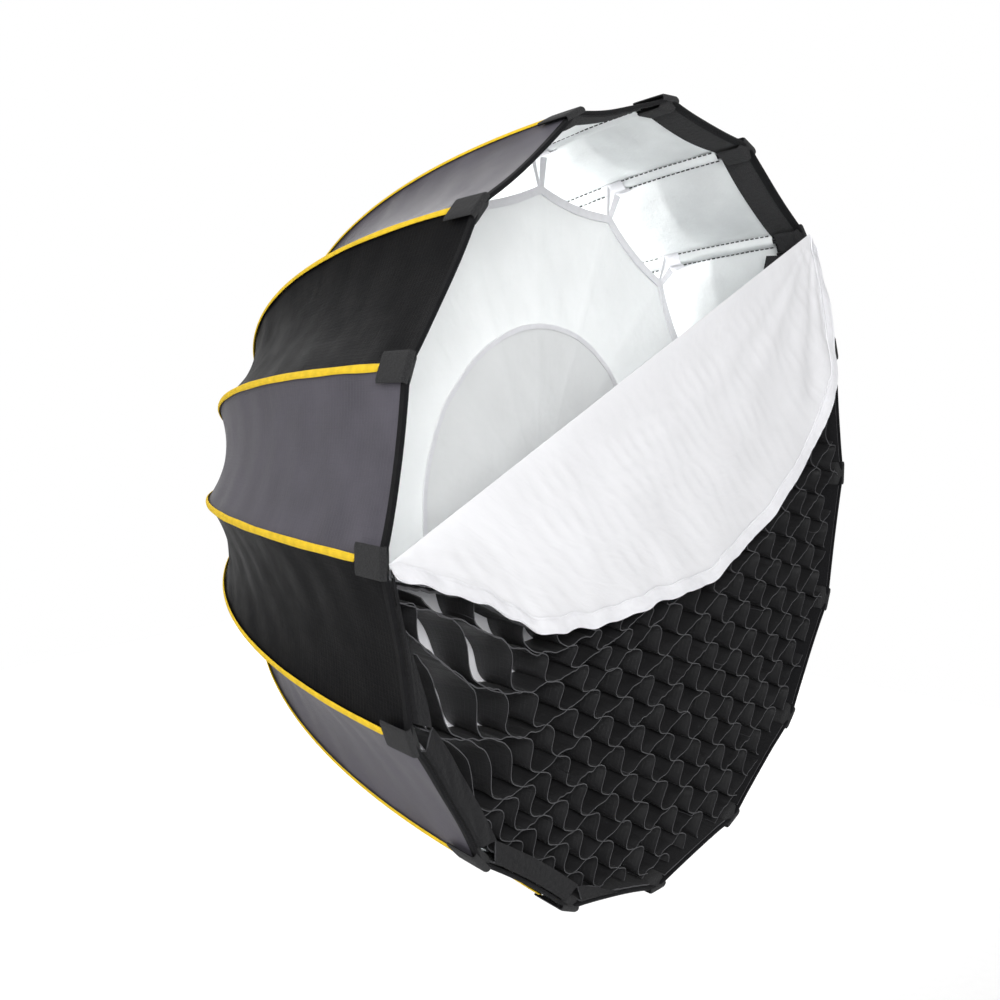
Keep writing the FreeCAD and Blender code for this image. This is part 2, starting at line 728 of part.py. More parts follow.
def make_adapter():
    body = new_body("adapter_ring")
    corners = [
        ("bore_radius", "collar_length"),
        ("collar_radius", "collar_length"),
        ("collar_radius", "mount_face"),
        ("boss_radius", "mount_face"),
        ("boss_radius", "-flange_back"),
        ("flange_radius", "-flange_back"),
        ("flange_radius", "-drum_front"),
        ("drum_inner", "-drum_front"),
        ("drum_inner", "-flange_front"),
        ("bore_radius", "-flange_front"),
    ]
    revolve(body, corners, "adapter_turned")
    doc.recompute()
    body.Label = "adapter_turned_ring"
    lugs = []
    for i in range(int(size("lug_count"))):
        lug = doc.addObject("Part::Cylinder", f"bayonet_lug_{i + 1}")
        lug.setExpression("Radius", cell("lug_radius"))
        lug.setExpression("Height", cell("lug_thick"))
        lug.setExpression("Angle", cell("lug_angle"))
        base = Vector(0, size("collar_length"), 0)
        turn = Rotation(Vector(0, 1, 0), i * 360 / size("lug_count")) * Rotation(Vector(1, 0, 0), 90)
        lug.Placement = Placement(base, turn)
        lugs.append(lug)
    opening = primitive(
        "Part::Cylinder",
        "lug_opening",
        {"Radius": "collar_radius", "Height": "collar_length"},
        Placement(Vector(0, size("collar_length"), 0), Rotation(Vector(1, 0, 0), 90)),
    )
    blanks = doc.addObject("Part::MultiFuse", "bayonet_lug_blanks")
    blanks.Shapes = lugs
    ring = doc.addObject("Part::Cut", "bayonet_lugs")
    ring.Base = blanks
    ring.Tool = opening
    whole = doc.addObject("Part::MultiFuse", "adapter_ring_whole")
    whole.Shapes = [body, ring]
    return keep(whole, "adapter_ring")


def make_knob():
    body = new_body("clamp_knob")
    corners = [
        ("clamp_screw_radius", "knob_inner"),
        ("knob_radius", "knob_inner"),
        ("knob_radius", "knob_outer"),
        ("clamp_screw_radius", "knob_outer"),
    ]
    revolve(body, corners, "knob_turned")
    groove = round_sketch(
        body, "XZ_Plane", "groove_circle", "mount_face", "knob_radius", "knob_groove_radius", "-knob_inner"
    )
    groove_cut = pocket(body, groove, "groove", "knob_outer")
    repeat(body, groove_cut, "knob_groove_count", "grooves")
    body.Placement = clamp_placement()
    return keep(body, "clamp_knob")


def clamp_placement():
    """Takes the Y axis to the clamp screw's line, away from the hub's axis."""
    base = FORWARD * size("clamp_reach")
    return Placement(base, Rotation(Vector(0, 1, 0), outward(size("clamp_angle"))))


# ---------------------------------------------------------------- small hardware


def make_pins():
    pins = []
    for i in range(SIDES):
        across = along_rim(i * STEP)
        centre = place(i * STEP, size("pivot_radius"), size("pivot_reach"))
        start = centre - across * (size("pin_length") / 2)
        pins.append(Part.makeCylinder(size("pin_radius"), size("pin_length"), start, across))
    stored("arm_pins", pins)


def make_screws():
    head_high = size("screw_head_height")
    screws = []
    for i in range(int(size("screw_count"))):
        seat = place(screw_angle(i), size("screw_circle"), size("retainer_back"))
        head = Part.makeCylinder(size("screw_head_radius"), head_high, seat, FORWARD * -1)
        shank = Part.makeCylinder(size("screw_radius"), size("screw_length"), seat, FORWARD)
        top = seat - FORWARD * head_high
        socket = Part.makeCylinder(size("screw_socket_radius"), head_high / 2, top, FORWARD)
        screws.append(head.fuse(shank).cut(socket))
    stored("retaining_screws", screws)


def make_plungers():
    plungers = []
    for i in range(SIDES):
        across = along_rim(i * STEP)
        centre = place(i * STEP, size("plunger_circle"), size("pivot_reach"))
        start = centre + across * (size("slot_half") + size("fit_gap"))
        plungers.append(
            Part.makeCylinder(size("plunger_radius"), size("plunger_length"), start, across)
        )
    stored("detent_plungers", plungers)


def make_clamp_screw():
    angle = size("clamp_angle")
    start = place(angle, size("clamp_tip_radius"), size("clamp_reach"))
    length = size("clamp_end_radius") - size("clamp_tip_radius")
    screw = Part.makeCylinder(size("clamp_screw_radius"), length, start, outward(angle))
    stored("clamp_screw", [screw])


def make_cuff():
    body = new_body("hub_cuff")
    corners = [
        ("cuff_inner", "-cuff_front"),
        ("cuff_outer", "-cuff_front"),
        ("cuff_outer", "-cuff_back"),
        ("cuff_inner", "-cuff_back"),
    ]
    revolve(body, corners, "cuff_turned")
    return keep(body, "hub_cuff")


def drill_tool(name, radius, length, start, direction):
    """A cylinder to cut with: a cell plus the running clearance in radius."""
    tool = doc.addObject("Part::Cylinder", name)
    tool.setExpression("Radius", f"sizes.{radius} + sizes.fit_gap")
    tool.Height = length
    tool.Placement = Placement(start, Rotation(Vector(0, 0, 1), direction))
    return tool


def drill(blank, name, tools):
    """Cuts the holes out of a turned blank, and keeps what is left as the sub-part."""
    blank.Label = name + "_blank"
    holes = doc.addObject("Part::MultiFuse", name + "_bores")
    holes.Shapes = tools
    drilled = doc.addObject("Part::Cut", name)
    drilled.Base = blank
    drilled.Tool = holes
    return keep(drilled, name)


def screw_bores(name, first_reach, length):
    """One bore for each retaining screw."""
    tools = []
    for i in range(int(size("screw_count"))):
        start = place(screw_angle(i), size("screw_circle"), first_reach)
        tools.append(drill_tool(f"{name}_screw_bore_{i + 1}", "screw_radius", length, start, FORWARD))
    return tools


def screw_angle(index):
    """Retaining screws stand between the slots."""
    return (index + size("screw_offset")) * 360 / size("screw_count")


def make_hub():
    """The hub ring with its screw holes, detent holes and clamp hole, and the drilled retaining ring."""
    margin = size("drill_margin")
    tools = screw_bores("hub", size("hub_back") - margin, size("screw_length"))
    for i in range(SIDES):
        across = along_rim(i * STEP)
        centre = place(i * STEP, size("plunger_circle"), size("pivot_reach"))
        start = centre + across * (size("slot_half") - margin)
        length = size("plunger_length") + 2 * margin
        tools.append(drill_tool(f"detent_bore_{i + 1}", "plunger_radius", length, start, across))
    angle = size("clamp_angle")
    start = place(angle, size("drum_inner"), size("clamp_reach"))
    length = size("cuff_outer") - size("drum_inner") + margin
    tools.append(drill_tool("clamp_bore", "clamp_screw_radius", length, start, outward(angle)))
    drill(make_hub_ring(), "hub_ring", tools)
    through = size("hub_back") + margin
    drill(make_retainer(), "retaining_ring", screw_bores("retainer", 0, through))


def write_parts():
    doc.recompute()
    for item in doc.Objects:
        if "Invalid" in item.State or "Error" in item.State:
            raise RuntimeError(f"{item.Label} failed: {item.State}")
    os.makedirs("parts", exist_ok=True)
    for piece in finished:
        if piece.Shape.isNull() or not piece.Shape.isValid():
            raise RuntimeError(f"{piece.Label} has no valid shape")
        piece.Shape.exportStep(f"parts/{piece.Label}.step")
    print(len(finished), "sub-parts written")


make_canopy()
make_canopy_trim()
make_baffle()
make_diffuser()
make_grid()
make_grid_border()
make_ribs()
make_hub()
make_adapter()
make_knob()
make_pins()
make_screws()
make_plungers()
make_clamp_screw()
make_cuff()
write_parts()
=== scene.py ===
"""Looks of the deep 16-rib octabox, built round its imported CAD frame.

Metres, in the CAD's own frame: +Z up, light leaves towards -Y. A reach is a distance forward of the
adapter's mounting face, so it lies at Y = -reach. Rib 1 is at the top, the others follow
anticlockwise seen from the front, and gore 1 lies between ribs 1 and 2.
"""

import math

import bpy
import numpy as np
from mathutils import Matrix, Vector


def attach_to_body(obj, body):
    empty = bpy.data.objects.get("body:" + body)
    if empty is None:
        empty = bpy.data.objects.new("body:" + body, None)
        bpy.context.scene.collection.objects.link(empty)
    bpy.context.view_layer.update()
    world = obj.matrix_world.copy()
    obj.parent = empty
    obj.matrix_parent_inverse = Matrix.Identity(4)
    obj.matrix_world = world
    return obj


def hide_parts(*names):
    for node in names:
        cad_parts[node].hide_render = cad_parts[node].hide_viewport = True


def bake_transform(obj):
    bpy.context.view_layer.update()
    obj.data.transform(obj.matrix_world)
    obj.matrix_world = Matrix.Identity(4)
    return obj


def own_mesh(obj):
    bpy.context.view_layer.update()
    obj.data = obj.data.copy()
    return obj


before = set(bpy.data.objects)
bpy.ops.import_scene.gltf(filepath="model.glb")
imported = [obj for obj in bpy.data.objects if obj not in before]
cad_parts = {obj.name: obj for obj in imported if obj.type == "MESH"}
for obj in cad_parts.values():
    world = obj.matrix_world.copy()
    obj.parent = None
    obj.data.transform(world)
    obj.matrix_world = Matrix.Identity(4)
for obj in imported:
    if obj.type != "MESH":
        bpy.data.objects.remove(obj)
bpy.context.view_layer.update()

# The canopy's shape: poles of the rib profile, rim first, as (radius, reach).
RIBS = 16
STEP = math.tau / RIBS
PROFILE = np.array([(0.450, 0.560), (0.401, 0.2374), (0.2754, 0.0047), (0.099, 0.020)])
RIM_RADIUS = PROFILE[0, 0]
GORE_WIDTH = 2 * RIM_RADIUS * math.sin(STEP / 2)
CLOTH = 0.0011
BAND_WIDTH = 0.040
POCKET_WIDTH, POCKET_LENGTH = 0.031, 0.038
FOLD_RIGHT, FOLD_LEFT = -2, 4
HUB_HOLD_RADIUS = 0.050
FOLD_PIVOT, FOLD_ANGLE = (0.086, 0.028), math.radians(30)
LEAST_SIDE = 0.0102


# ---------------------------------------------------------------- shapes


def smooth(x):
    """0 below 0, 1 above 1, and a soft step between."""
    x = np.clip(x, 0, 1)
    return x * x * (3 - 2 * x)


def waves(seed, a, b, size_a, size_b, layers=5):
    """Repeatable soft noise in -1 to 1 over two coordinates, from a few crossed sine waves."""
    draw = np.random.default_rng(seed)
    total = np.zeros(np.broadcast(a, b).shape)
    for _ in range(layers):
        pace = draw.uniform(0.6, 1.6, 2)
        lean = draw.uniform(-0.5, 0.5)
        shift = draw.uniform(0, math.tau)
        total += np.sin(math.tau * (pace[0] * a / size_a + pace[1] * (b + lean * a) / size_b) + shift)
    return total / layers


def profile(t, inset=0.0):
    """Radius and reach of a rib's seam, t from 0 at the rim to 1 at the hub, moved in from the cloth."""
    t = np.asarray(t, float)
    weights = np.stack([(1 - t) ** 3, 3 * t * (1 - t) ** 2, 3 * t * t * (1 - t), t**3], -1)
    slopes = np.stack([-3 * (1 - t) ** 2, 3 * (1 - t) * (1 - 3 * t), 3 * t * (2 - 3 * t), 3 * t * t], -1)
    point, slope = weights @ PROFILE, slopes @ PROFILE
    slope /= np.linalg.norm(slope, axis=-1, keepdims=True)
    return point[..., 0] + inset * slope[..., 1], point[..., 1] - inset * slope[..., 0]


T_FINE = np.linspace(0, 1, 2001)
_radius, _reach = profile(T_FINE)
LENGTH_FINE = np.concatenate([[0], np.cumsum(np.hypot(np.diff(_radius), np.diff(_reach)))])
PROFILE_LENGTH = float(LENGTH_FINE[-1])


def t_at(length):
    """The value of t that far back from the rim along the profile."""
    return np.interp(length, LENGTH_FINE, T_FINE)


def length_at(t):
    """Length of the profile from the rim to t."""
    return np.interp(t, T_FINE, LENGTH_FINE)


def outward(angle):
    """Unit vector away from the axis, at an angle from the top, anticlockwise from the front."""
    return np.stack([-np.sin(angle), np.zeros_like(angle), np.cos(angle)], -1)


def along_rim(angle):
    """Unit vector along the rim, at an angle from the top."""
    return np.stack([-np.cos(angle), np.zeros_like(angle), -np.sin(angle)], -1)


def place(angle, radius, reach):
    """The point at that angle, distance from the axis and reach."""
    angle, radius, reach = np.broadcast_arrays(np.asarray(angle, float), radius, reach)
    point = outward(angle) * radius[..., None]
    point[..., 1] -= reach
    return point


def grid_normals(points):
    """Unit normals of a grid of points, from its own slopes."""
    normals = np.cross(np.gradient(points, axis=0), np.gradient(points, axis=1))
    return normals / np.maximum(np.linalg.norm(normals, axis=-1, keepdims=True), 1e-12)


def cloth_uv(side, along):
    """UVs in metres from a cloth's own width and length."""
    return np.stack(np.broadcast_arrays(side, along), -1)


def new_piece(name, verts, faces, normals, uvs, face_materials, materials):
    """A mesh piece with its own corner normals and a UV map in metres."""
    mesh = bpy.data.meshes.new(name)
    mesh.from_pydata(verts, [], faces)
    for material in materials:
        mesh.materials.append(material)
    mesh.polygons.foreach_set("material_index", face_materials)
    mesh.polygons.foreach_set("use_smooth", np.ones(len(faces), bool))
    layer = mesh.uv_layers.new(name="cloth")
    layer.data.foreach_set("uv", np.asarray(uvs, np.float32).ravel())
    mesh.normals_split_custom_set(normals)
    mesh.update()
    piece = bpy.data.objects.new(name, mesh)
    bpy.context.scene.collection.objects.link(piece)
    return piece


def shell_arrays(outer, inner, normals, uv):
    """A closed sheet between two grids of points: its corners, faces, corner normals, UVs and materials."""
    rows, columns = outer.shape[:2]
    index = np.arange(rows * columns).reshape(rows, columns)
    low, high = index, index + rows * columns
    flat_normals, flat_uv = normals.reshape(-1, 3), uv.reshape(-1, 2)
    points = np.concatenate([outer.reshape(-1, 3), inner.reshape(-1, 3)])
    faces, corner_normals, corner_uvs, slots = [], [], [], []

    def add(corners, slot, side=None):
        faces.append(corners)
        slots.append(slot)
        for corner in corners:
            own = corner % (rows * columns)
            corner_uvs.append(flat_uv[own])
            own_normal = flat_normals[own] * (1 if slot == 0 else -1)
            corner_normals.append(own_normal if side is None else side)

    def edge(a, b):
        across = np.cross(points[b] - points[a], points[a + rows * columns] - points[a])
        across /= max(np.linalg.norm(across), 1e-12)
        add([a, b, b + rows * columns, a + rows * columns], 2, across)

    for i in range(rows - 1):
        for j in range(columns - 1):
            add([low[i, j], low[i + 1, j], low[i + 1, j + 1], low[i, j + 1]], 0)
            add([high[i, j + 1], high[i + 1, j + 1], high[i + 1, j], high[i, j]], 1)
    for j in range(columns - 1):
        edge(low[0, j], low[0, j + 1])
        edge(low[-1, j + 1], low[-1, j])
    for i in range(rows - 1):
        edge(low[i + 1, 0], low[i, 0])
        edge(low[i, -1], low[i + 1, -1])
    faces = [[int(corner) for corner in face] for face in faces]
    return points, faces, corner_normals, corner_uvs, slots


def shell(name, outer, inner, normals, uv, materials):
    """A closed sheet between two grids of points: materials are its outer, inner and edge ones."""
    return new_piece(name, *shell_arrays(outer, inner, normals, uv), materials)


def joined(name, parts, materials):
    """One piece from several closed sheets."""
    points, faces, normals, uvs, slots = [], [], [], [], []
    for part_points, part_faces, part_normals, part_uvs, part_slots in parts:
        start = sum(len(group) for group in points)
        points.append(part_points)
        faces += [[corner + start for corner in face] for face in part_faces]
        normals += list(part_normals)
        uvs += list(part_uvs)
        slots += part_slots
    return new_piece(name, np.concatenate(points), faces, normals, uvs, slots, materials)


def sheet_of(name, points, thick, materials, uv=None):
    """A closed sheet whose first side is that grid of points, thick metres through."""
    normals = grid_normals(points)
    if uv is None:
        along = np.linalg.norm(np.diff(points, axis=0), axis=-1).cumsum(axis=0)
        across = np.linalg.norm(np.diff(points, axis=1), axis=-1).cumsum(axis=1)
        uv = np.zeros(points.shape[:2] + (2,))
        uv[:, 1:, 0] = across
        uv[1:, :, 1] = along
    return shell(name, points, points - normals * thick, normals, uv, materials)


def cut_size(points):
    """Greatest width and length of a grid of points."""
    across = np.linalg.norm(np.diff(points, axis=1), axis=-1).sum(axis=1).max()
    along = np.linalg.norm(np.diff(points, axis=0), axis=-1).sum(axis=0).max()
    return float(across), float(along)


def declare_sheet(piece, held, rests_on, width, length):
    """Raises the width and length of the rectangle that the cloth was cut from to at least LEAST_SIDE;
    nothing is declared or kept.
    """
    width, length = max(width, LEAST_SIDE), max(length, LEAST_SIDE)


# ---------------------------------------------------------------- materials


def node(tree, kind, inputs=None, **settings):
    """A shader node with its settings, and its inputs set or linked."""
    made = tree.nodes.new(kind)
    for key, value in settings.items():
        setattr(made, key, value)
    for key, value in (inputs or {}).items():
        if isinstance(value, bpy.types.NodeSocket):
            tree.links.new(value, made.inputs[key])
        else:
            made.inputs[key].default_value = value
    return made


def math_node(tree, operation, a, b=0.0):
    """The result of a sum, product or the like of two values."""
    return node(tree, "ShaderNodeMath", {0: a, 1: b}, operation=operation).outputs[0]


def bands(tree, coords, pitch, direction):
    """Soft parallel ridges, one each pitch metres."""
    wave_span = math.tau / 20
    settings = {"Vector": coords, "Scale": wave_span / pitch, "Distortion": 0.0}
    return node(tree, "ShaderNodeTexWave", settings, bands_direction=direction).outputs["Fac"]


def woven(tree, coords, thread):
    """A plain weave whose threads are that far apart."""
    return math_node(tree, "MULTIPLY", bands(tree, coords, thread, "X"), bands(tree, coords, thread, "Y"))


def cloudy(tree, coords, size, detail=3.0):
    """Soft noise whose patches are about size metres across."""
    inputs = {"Vector": coords, "Scale": 1 / size, "Detail": detail}
    return node(tree, "ShaderNodeTexNoise", inputs).outputs["Fac"]


def between(tree, factor, low, high):
    """A value that goes from low to high as the factor goes from 0.3 to 0.7."""
    inputs = {"Value": factor, "From Min": 0.3, "From Max": 0.7, "To Min": low, "To Max": high}
    return node(tree, "ShaderNodeMapRange", inputs).outputs["Result"]


def bumped(tree, heights, normal=None):
    """Bumps stacked on each other, each a (height, depth in metres)."""
    for height, depth in heights:
        inputs = {"Height": height, "Distance": depth, "Strength": 1.0}
        if normal is not None:
            inputs["Normal"] = normal
        normal = node(tree, "ShaderNodeBump", inputs).outputs["Normal"]
    return normal


def tinted(tree, factor, colour, spread):
    """A colour that varies by a share of itself as the factor goes from 0.3 to 0.7."""
    share = between(tree, factor, 1 - spread, 1 + spread)
    inputs = {"Vector": colour, "Scale": share}
    return node(tree, "ShaderNodeVectorMath", inputs, operation="SCALE").outputs["Vector"]


def material_base(name, on_cloth):
    """A new material, its tree, its shader and its coordinates in metres."""
    material = bpy.data.materials.new(name)
    material.use_nodes = True
    tree = material.node_tree
    shader = tree.nodes["Principled BSDF"]
    if on_cloth:
        coords = node(tree, "ShaderNodeUVMap", uv_map="cloth").outputs["UV"]
    else:
        coords = node(tree, "ShaderNodeTexCoord").outputs["Object"]
    return material, tree, shader, coords


def finish_material(tree, shader, colour, roughness, normal, **inputs):
    """Sets or links the shader's inputs."""
    for key, value in {"Base Color": colour, "Roughness": roughness, "Normal": normal, **inputs}.items():
        if isinstance(value, bpy.types.NodeSocket):
            tree.links.new(value, shader.inputs[key])
        else:
            shader.inputs[key].default_value = value


def nylon(name, colour, sheen, gloss=0.22):
    """Coated ripstop nylon: a fine weave with thicker threads in a 5 mm square, satin, a little cloudy."""
    material, tree, shader, coords = material_base(name, True)
    square = 0.005
    weave = woven(tree, coords, 0.0008)
    lines = [math_node(tree, "POWER", bands(tree, coords, square, axis), 24.0) for axis in "XY"]
    ripstop = math_node(tree, "MAXIMUM", *lines)
    patches, crinkles = cloudy(tree, coords, 0.06), cloudy(tree, coords, 0.012, 5.0)
    normal = bumped(tree, [(weave, 0.00008), (ripstop, 0.00012), (crinkles, 0.0004)])
    roughness = between(tree, patches, 0.40, 0.55)
    extra = {"Sheen Weight": sheen, "Sheen Roughness": 0.4, "Specular IOR Level": gloss}
    finish_material(tree, shader, tinted(tree, patches, colour, 0.18), roughness, normal, **extra)
    return material


def tape(name, colour, rib, roughness=0.75, spread=0.1):
    """Woven tape with ribs across it."""
    material, tree, shader, coords = material_base(name, True)
    ribs, threads = bands(tree, coords, rib, "Y"), bands(tree, coords, rib / 3, "X")
    patches = cloudy(tree, coords, 0.01)
    normal = bumped(tree, [(ribs, 0.00025), (threads, 0.00006)])
    extra = {"Sheen Weight": 0.02, "Sheen Roughness": 0.5, "Specular IOR Level": 0.1}
    finish_material(tree, shader, tinted(tree, patches, colour, spread), roughness, normal, **extra)
    return material


def loop_webbing(name, colour):
    """Brushed loop fabric: matt, fuzzy, with a mottled pile."""
    material, tree, shader, coords = material_base(name, True)
    pile, tufts = cloudy(tree, coords, 0.0012, 6.0), cloudy(tree, coords, 0.006, 4.0)
    normal = bumped(tree, [(pile, 0.0007), (tufts, 0.0010)])
    extra = {"Sheen Weight": 0.05, "Sheen Roughness": 0.7, "Specular IOR Level": 0.12}
    finish_material(tree, shader, tinted(tree, pile, colour, 0.55), 0.95, normal, **extra)
    return material


def silver_cloth(name, colour):
    """Silver-coated lining: half metallic, satin, finely crinkled over its weave."""
    material, tree, shader, coords = material_base(name, True)
    weave = woven(tree, coords, 0.0009)
    crinkles, folds = cloudy(tree, coords, 0.004, 6.0), cloudy(tree, coords, 0.05, 3.0)
    normal = bumped(tree, [(folds, 0.0016), (crinkles, 0.00035), (weave, 0.00006)])
    roughness = between(tree, crinkles, 0.36, 0.50)
    finish_material(tree, shader, tinted(tree, folds, colour, 0.05), roughness, normal, Metallic=0.45)
    return material


def white_cloth(name, colour, through, crease=0.0009):
    """Translucent white diffusion cloth: a fine weave, softly creased; light passes partly through it."""
    material, tree, shader, coords = material_base(name, True)
    weave = woven(tree, coords, 0.0008)
    folds, creases = cloudy(tree, coords, 0.07, 3.0), cloudy(tree, coords, 0.009, 5.0)
    normal = bumped(tree, [(folds, crease * 2), (creases, crease / 3), (weave, 0.00007)])
    tint = tinted(tree, folds, colour, 0.02)
    extra = {"Sheen Weight": 0.3, "Specular IOR Level": 0.25}
    finish_material(tree, shader, tint, 0.85, normal, **extra)
    translucent = node(tree, "ShaderNodeBsdfTranslucent", {"Color": tint, "Normal": normal})
    mixed = node(tree, "ShaderNodeMixShader", {0: through, 1: shader.outputs[0], 2: translucent.outputs[0]})
    output = next(item for item in tree.nodes if item.type == "OUTPUT_MATERIAL")
    tree.links.new(mixed.outputs[0], output.inputs["Surface"])
    return material


def hard_material(name, colour, roughness, grain, depth, spread=0.08, **inputs):
    """Metal or plastic with a fine surface grain and worn, uneven gloss."""
    material, tree, shader, coords = material_base(name, False)
    fine, wear = cloudy(tree, coords, grain, 4.0), cloudy(tree, coords, 0.02, 4.0)
    gloss = between(tree, wear, roughness * 0.8, min(1.0, roughness * 1.2))
    normal = bumped(tree, [(fine, depth)])
    finish_material(tree, shader, tinted(tree, wear, colour, spread), gloss, normal, **inputs)
    return material


def turned_material(name, colour, roughness):
    """Turned metal: fine rings about the Y axis."""
    material, tree, shader, coords = material_base(name, False)
    rings = {"Vector": coords, "Scale": 180.0, "Distortion": 0.4, "Detail": 2.0}
    rings = node(tree, "ShaderNodeTexWave", rings, wave_type="RINGS", rings_direction="Y").outputs["Fac"]
    wear = cloudy(tree, coords, 0.015, 5.0)
    gloss = between(tree, wear, roughness * 0.8, roughness * 1.3)
    normal = bumped(tree, [(rings, 0.00003)])
    finish_material(tree, shader, tinted(tree, wear, colour, 0.06), gloss, normal, Metallic=1.0)
    return material


BLACK_NYLON = nylon("black_nylon_cloth", (0.0045, 0.0045, 0.0052), 0.004, 0.03)
CHARCOAL_NYLON = nylon("charcoal_nylon_cloth", (0.086, 0.081, 0.098), 0.02, 0.10)
YELLOW_BINDING = tape("yellow_grosgrain", (0.92, 0.62, 0.03), 0.0011)
BLACK_WEBBING = loop_webbing("black_loop_webbing", (0.020, 0.020, 0.021))
BORDER_WEBBING = loop_webbing("black_border_webbing", (0.006, 0.006, 0.007))
BLACK_TAPE = tape("black_edge_tape", (0.007, 0.007, 0.008), 0.0010, 0.8, 0.2)
WEBBING_SIDES = [BLACK_WEBBING, BLACK_WEBBING, BLACK_TAPE]
SILVER_LINING = silver_cloth("silver_cloth", (0.84, 0.86, 0.86))
WHITE_BAFFLE = white_cloth("white_baffle_cloth", (0.93, 0.94, 0.94), 0.25)
WHITE_DIFFUSION = white_cloth("white_diffusion_cloth", (0.90, 0.90, 0.92), 0.22)
WHITE_BINDING = tape("white_woven_tape", (0.94, 0.94, 0.97), 0.0009, 0.8, 0.03)
DARK_THREAD = tape("dark_thread", (0.06, 0.06, 0.065), 0.0008)
GRID_CLOTH = nylon("grid_strip_cloth", (0.015, 0.015, 0.016), 0.02, 0.55)
# Lighter colour on the cut edges of the grid strips and the border: painted highlight where light glances
# along the edges
GRID_EDGE_HIGHLIGHT = tape("grid_edge_painted_highlight", (0.075, 0.075, 0.080), 0.0009, 0.6, 0.15)
POWDER_COAT = hard_material("powder_coated_aluminium", (0.018, 0.018, 0.020), 0.55, 0.0012, 0.00018)
BARE_METAL = turned_material("turned_aluminium", (0.62, 0.63, 0.65), 0.30)
STEEL = hard_material("zinc_plated_steel", (0.55, 0.55, 0.57), 0.30, 0.0008, 0.00003, Metallic=1.0)
GLASS_FIBRE = hard_material("glass_fibre_rod", (0.022, 0.022, 0.024), 0.45, 0.0006, 0.00006)
PLASTIC = hard_material("moulded_plastic", (0.020, 0.020, 0.022), 0.50, 0.0009, 0.00010)


# ---------------------------------------------------------------- canopy


def gore_depth(t, across):
    """How far the cloth of a gore lies inside the straight line between its ribs."""
    tight = 4 * across * (1 - across)
    return tight * (0.004 + 0.011 * np.sin(math.pi * t**0.8))


def gore_folds(gore, t, across):
    """Tension folds that run from rib to rib, and puckers where the seams gather the cloth."""
    length, width = length_at(t), GORE_WIDTH * across
    open_cloth = smooth(across / 0.12) * smooth((1 - across) / 0.12)
    long_folds = 0.0015 * waves(gore, width, length, 0.26, 0.085, 8) * (0.4 + 0.6 * open_cloth)
    near_seam = np.exp(-np.minimum(across, 1 - across) * 11)
    puckers = 0.0004 * near_seam * waves(gore + 50, width, length, 0.09, 0.024, 5)
    return (long_folds + puckers) * smooth(across / 0.02) * smooth((1 - across) / 0.02)


def gore_surface(gore, t, across, inset=0.0):
    """Points of a gore's outer face, across from 0 at its first rib to 1 at its second."""
    t, across = np.broadcast_arrays(t, across)
    middle_scale = math.cos(STEP / 2)
    radius, reach = profile(t, inset / middle_scale)
    first, second = place(gore * STEP, radius, reach), place((gore + 1) * STEP, radius, reach)
    points = first + (second - first) * across[..., None]
    next_radius, next_reach = profile(t + 1e-4)
    base_radius, base_reach = profile(t)
    step = np.stack([next_radius - base_radius, next_reach - base_reach], -1)
    step /= np.linalg.norm(step, axis=-1, keepdims=True)
    inward = outward(np.full(t.shape, (gore + 0.5) * STEP)) * step[..., 1:]
    inward[..., 1] = step[..., 0]
    depth = gore_depth(t, across) + gore_folds(gore, t, across)
    return points + inward * depth[..., None]


GORE_ROWS, GORE_COLUMNS = 132, 28
ZONE_ENDS = (0.0, 0.12, 0.27, 0.42, 0.58, 0.78, 1.0)


def gathered_share(t):
    """Share of its width that the cloth beside a rib keeps at that t, with the ribs folded in fully."""
    radius, reach = (float(value) for value in profile(t))
    middle = radius * (1 + math.cos(STEP)) / 2 - FOLD_PIVOT[0]
    turned = math.cos(FOLD_ANGLE) * middle - math.sin(FOLD_ANGLE) * (reach - FOLD_PIVOT[1]) + FOLD_PIVOT[0]
    return min(1.0, 1.02 * turned * math.tan(STEP / 2) / (radius * math.sin(STEP) / 2))


FOLD_ZONES = [(start, end, gathered_share(end)) for start, end in zip(ZONE_ENDS, ZONE_ENDS[1:])]


def squash_to_rib(piece, rib, keep):
    """Gives the piece its own copy of its mesh when keep is under 1; the cloth is not gathered towards the
    rib here.
    """
    if keep < 1:
        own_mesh(piece)


def rib_body(rib):
    """The moving body that a rib is in."""
    return f"rib_{rib % RIBS + 1:02d}"


def attach(piece, rib, replaced):
    """The piece rides with a rib, and the CAD node that it stands for is hidden."""
    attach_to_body(piece, rib_body(rib))
    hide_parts(replaced)


def add_gore(gore):
    """A gore as panels: half of it rides with each rib, in zones along its length."""
    across = np.linspace(0, 1, GORE_COLUMNS + 1)[None, :]
    t = t_at(np.linspace(0, 1, GORE_ROWS + 1) * PROFILE_LENGTH)[:, None]
    outer = gore_surface(gore, t, across)
    normals = grid_normals(outer)
    inner = outer - normals * CLOTH
    uv = cloth_uv((across - 0.5) * GORE_WIDTH, length_at(t))
    dark = gore % 2 == 0
    nylon_cloth = BLACK_NYLON if dark else CHARCOAL_NYLON
    node_name = "canopy_black_gores" if dark else "canopy_charcoal_gores"
    middle = GORE_COLUMNS // 2
    for side, columns in (("first", slice(0, middle + 1)), ("second", slice(middle, None))):
        rib = gore if side == "first" else gore + 1
        for zone, (start, end, keep) in enumerate(FOLD_ZONES, 1):
            low, high = np.searchsorted(t[:, 0], [start, end])
            high = min(high, GORE_ROWS)
            cells = (slice(low, high + 1), columns)
            name = f"canopy_gore_{gore + 1:02d}_{side}_half_{zone}"
            materials = [nylon_cloth, SILVER_LINING, BLACK_TAPE]
            piece = shell(name, outer[cells], inner[cells], normals[cells], uv[cells], materials)
            attach(piece, rib, node_name)
            declare_sheet(piece, "stretched", [f"rib_rod_{rib % RIBS + 1:02d}"], *cut_size(outer[cells]))
            squash_to_rib(piece, rib, keep)


for number in range(RIBS):
    add_gore(number)


# ---------------------------------------------------------------- trim on the canopy


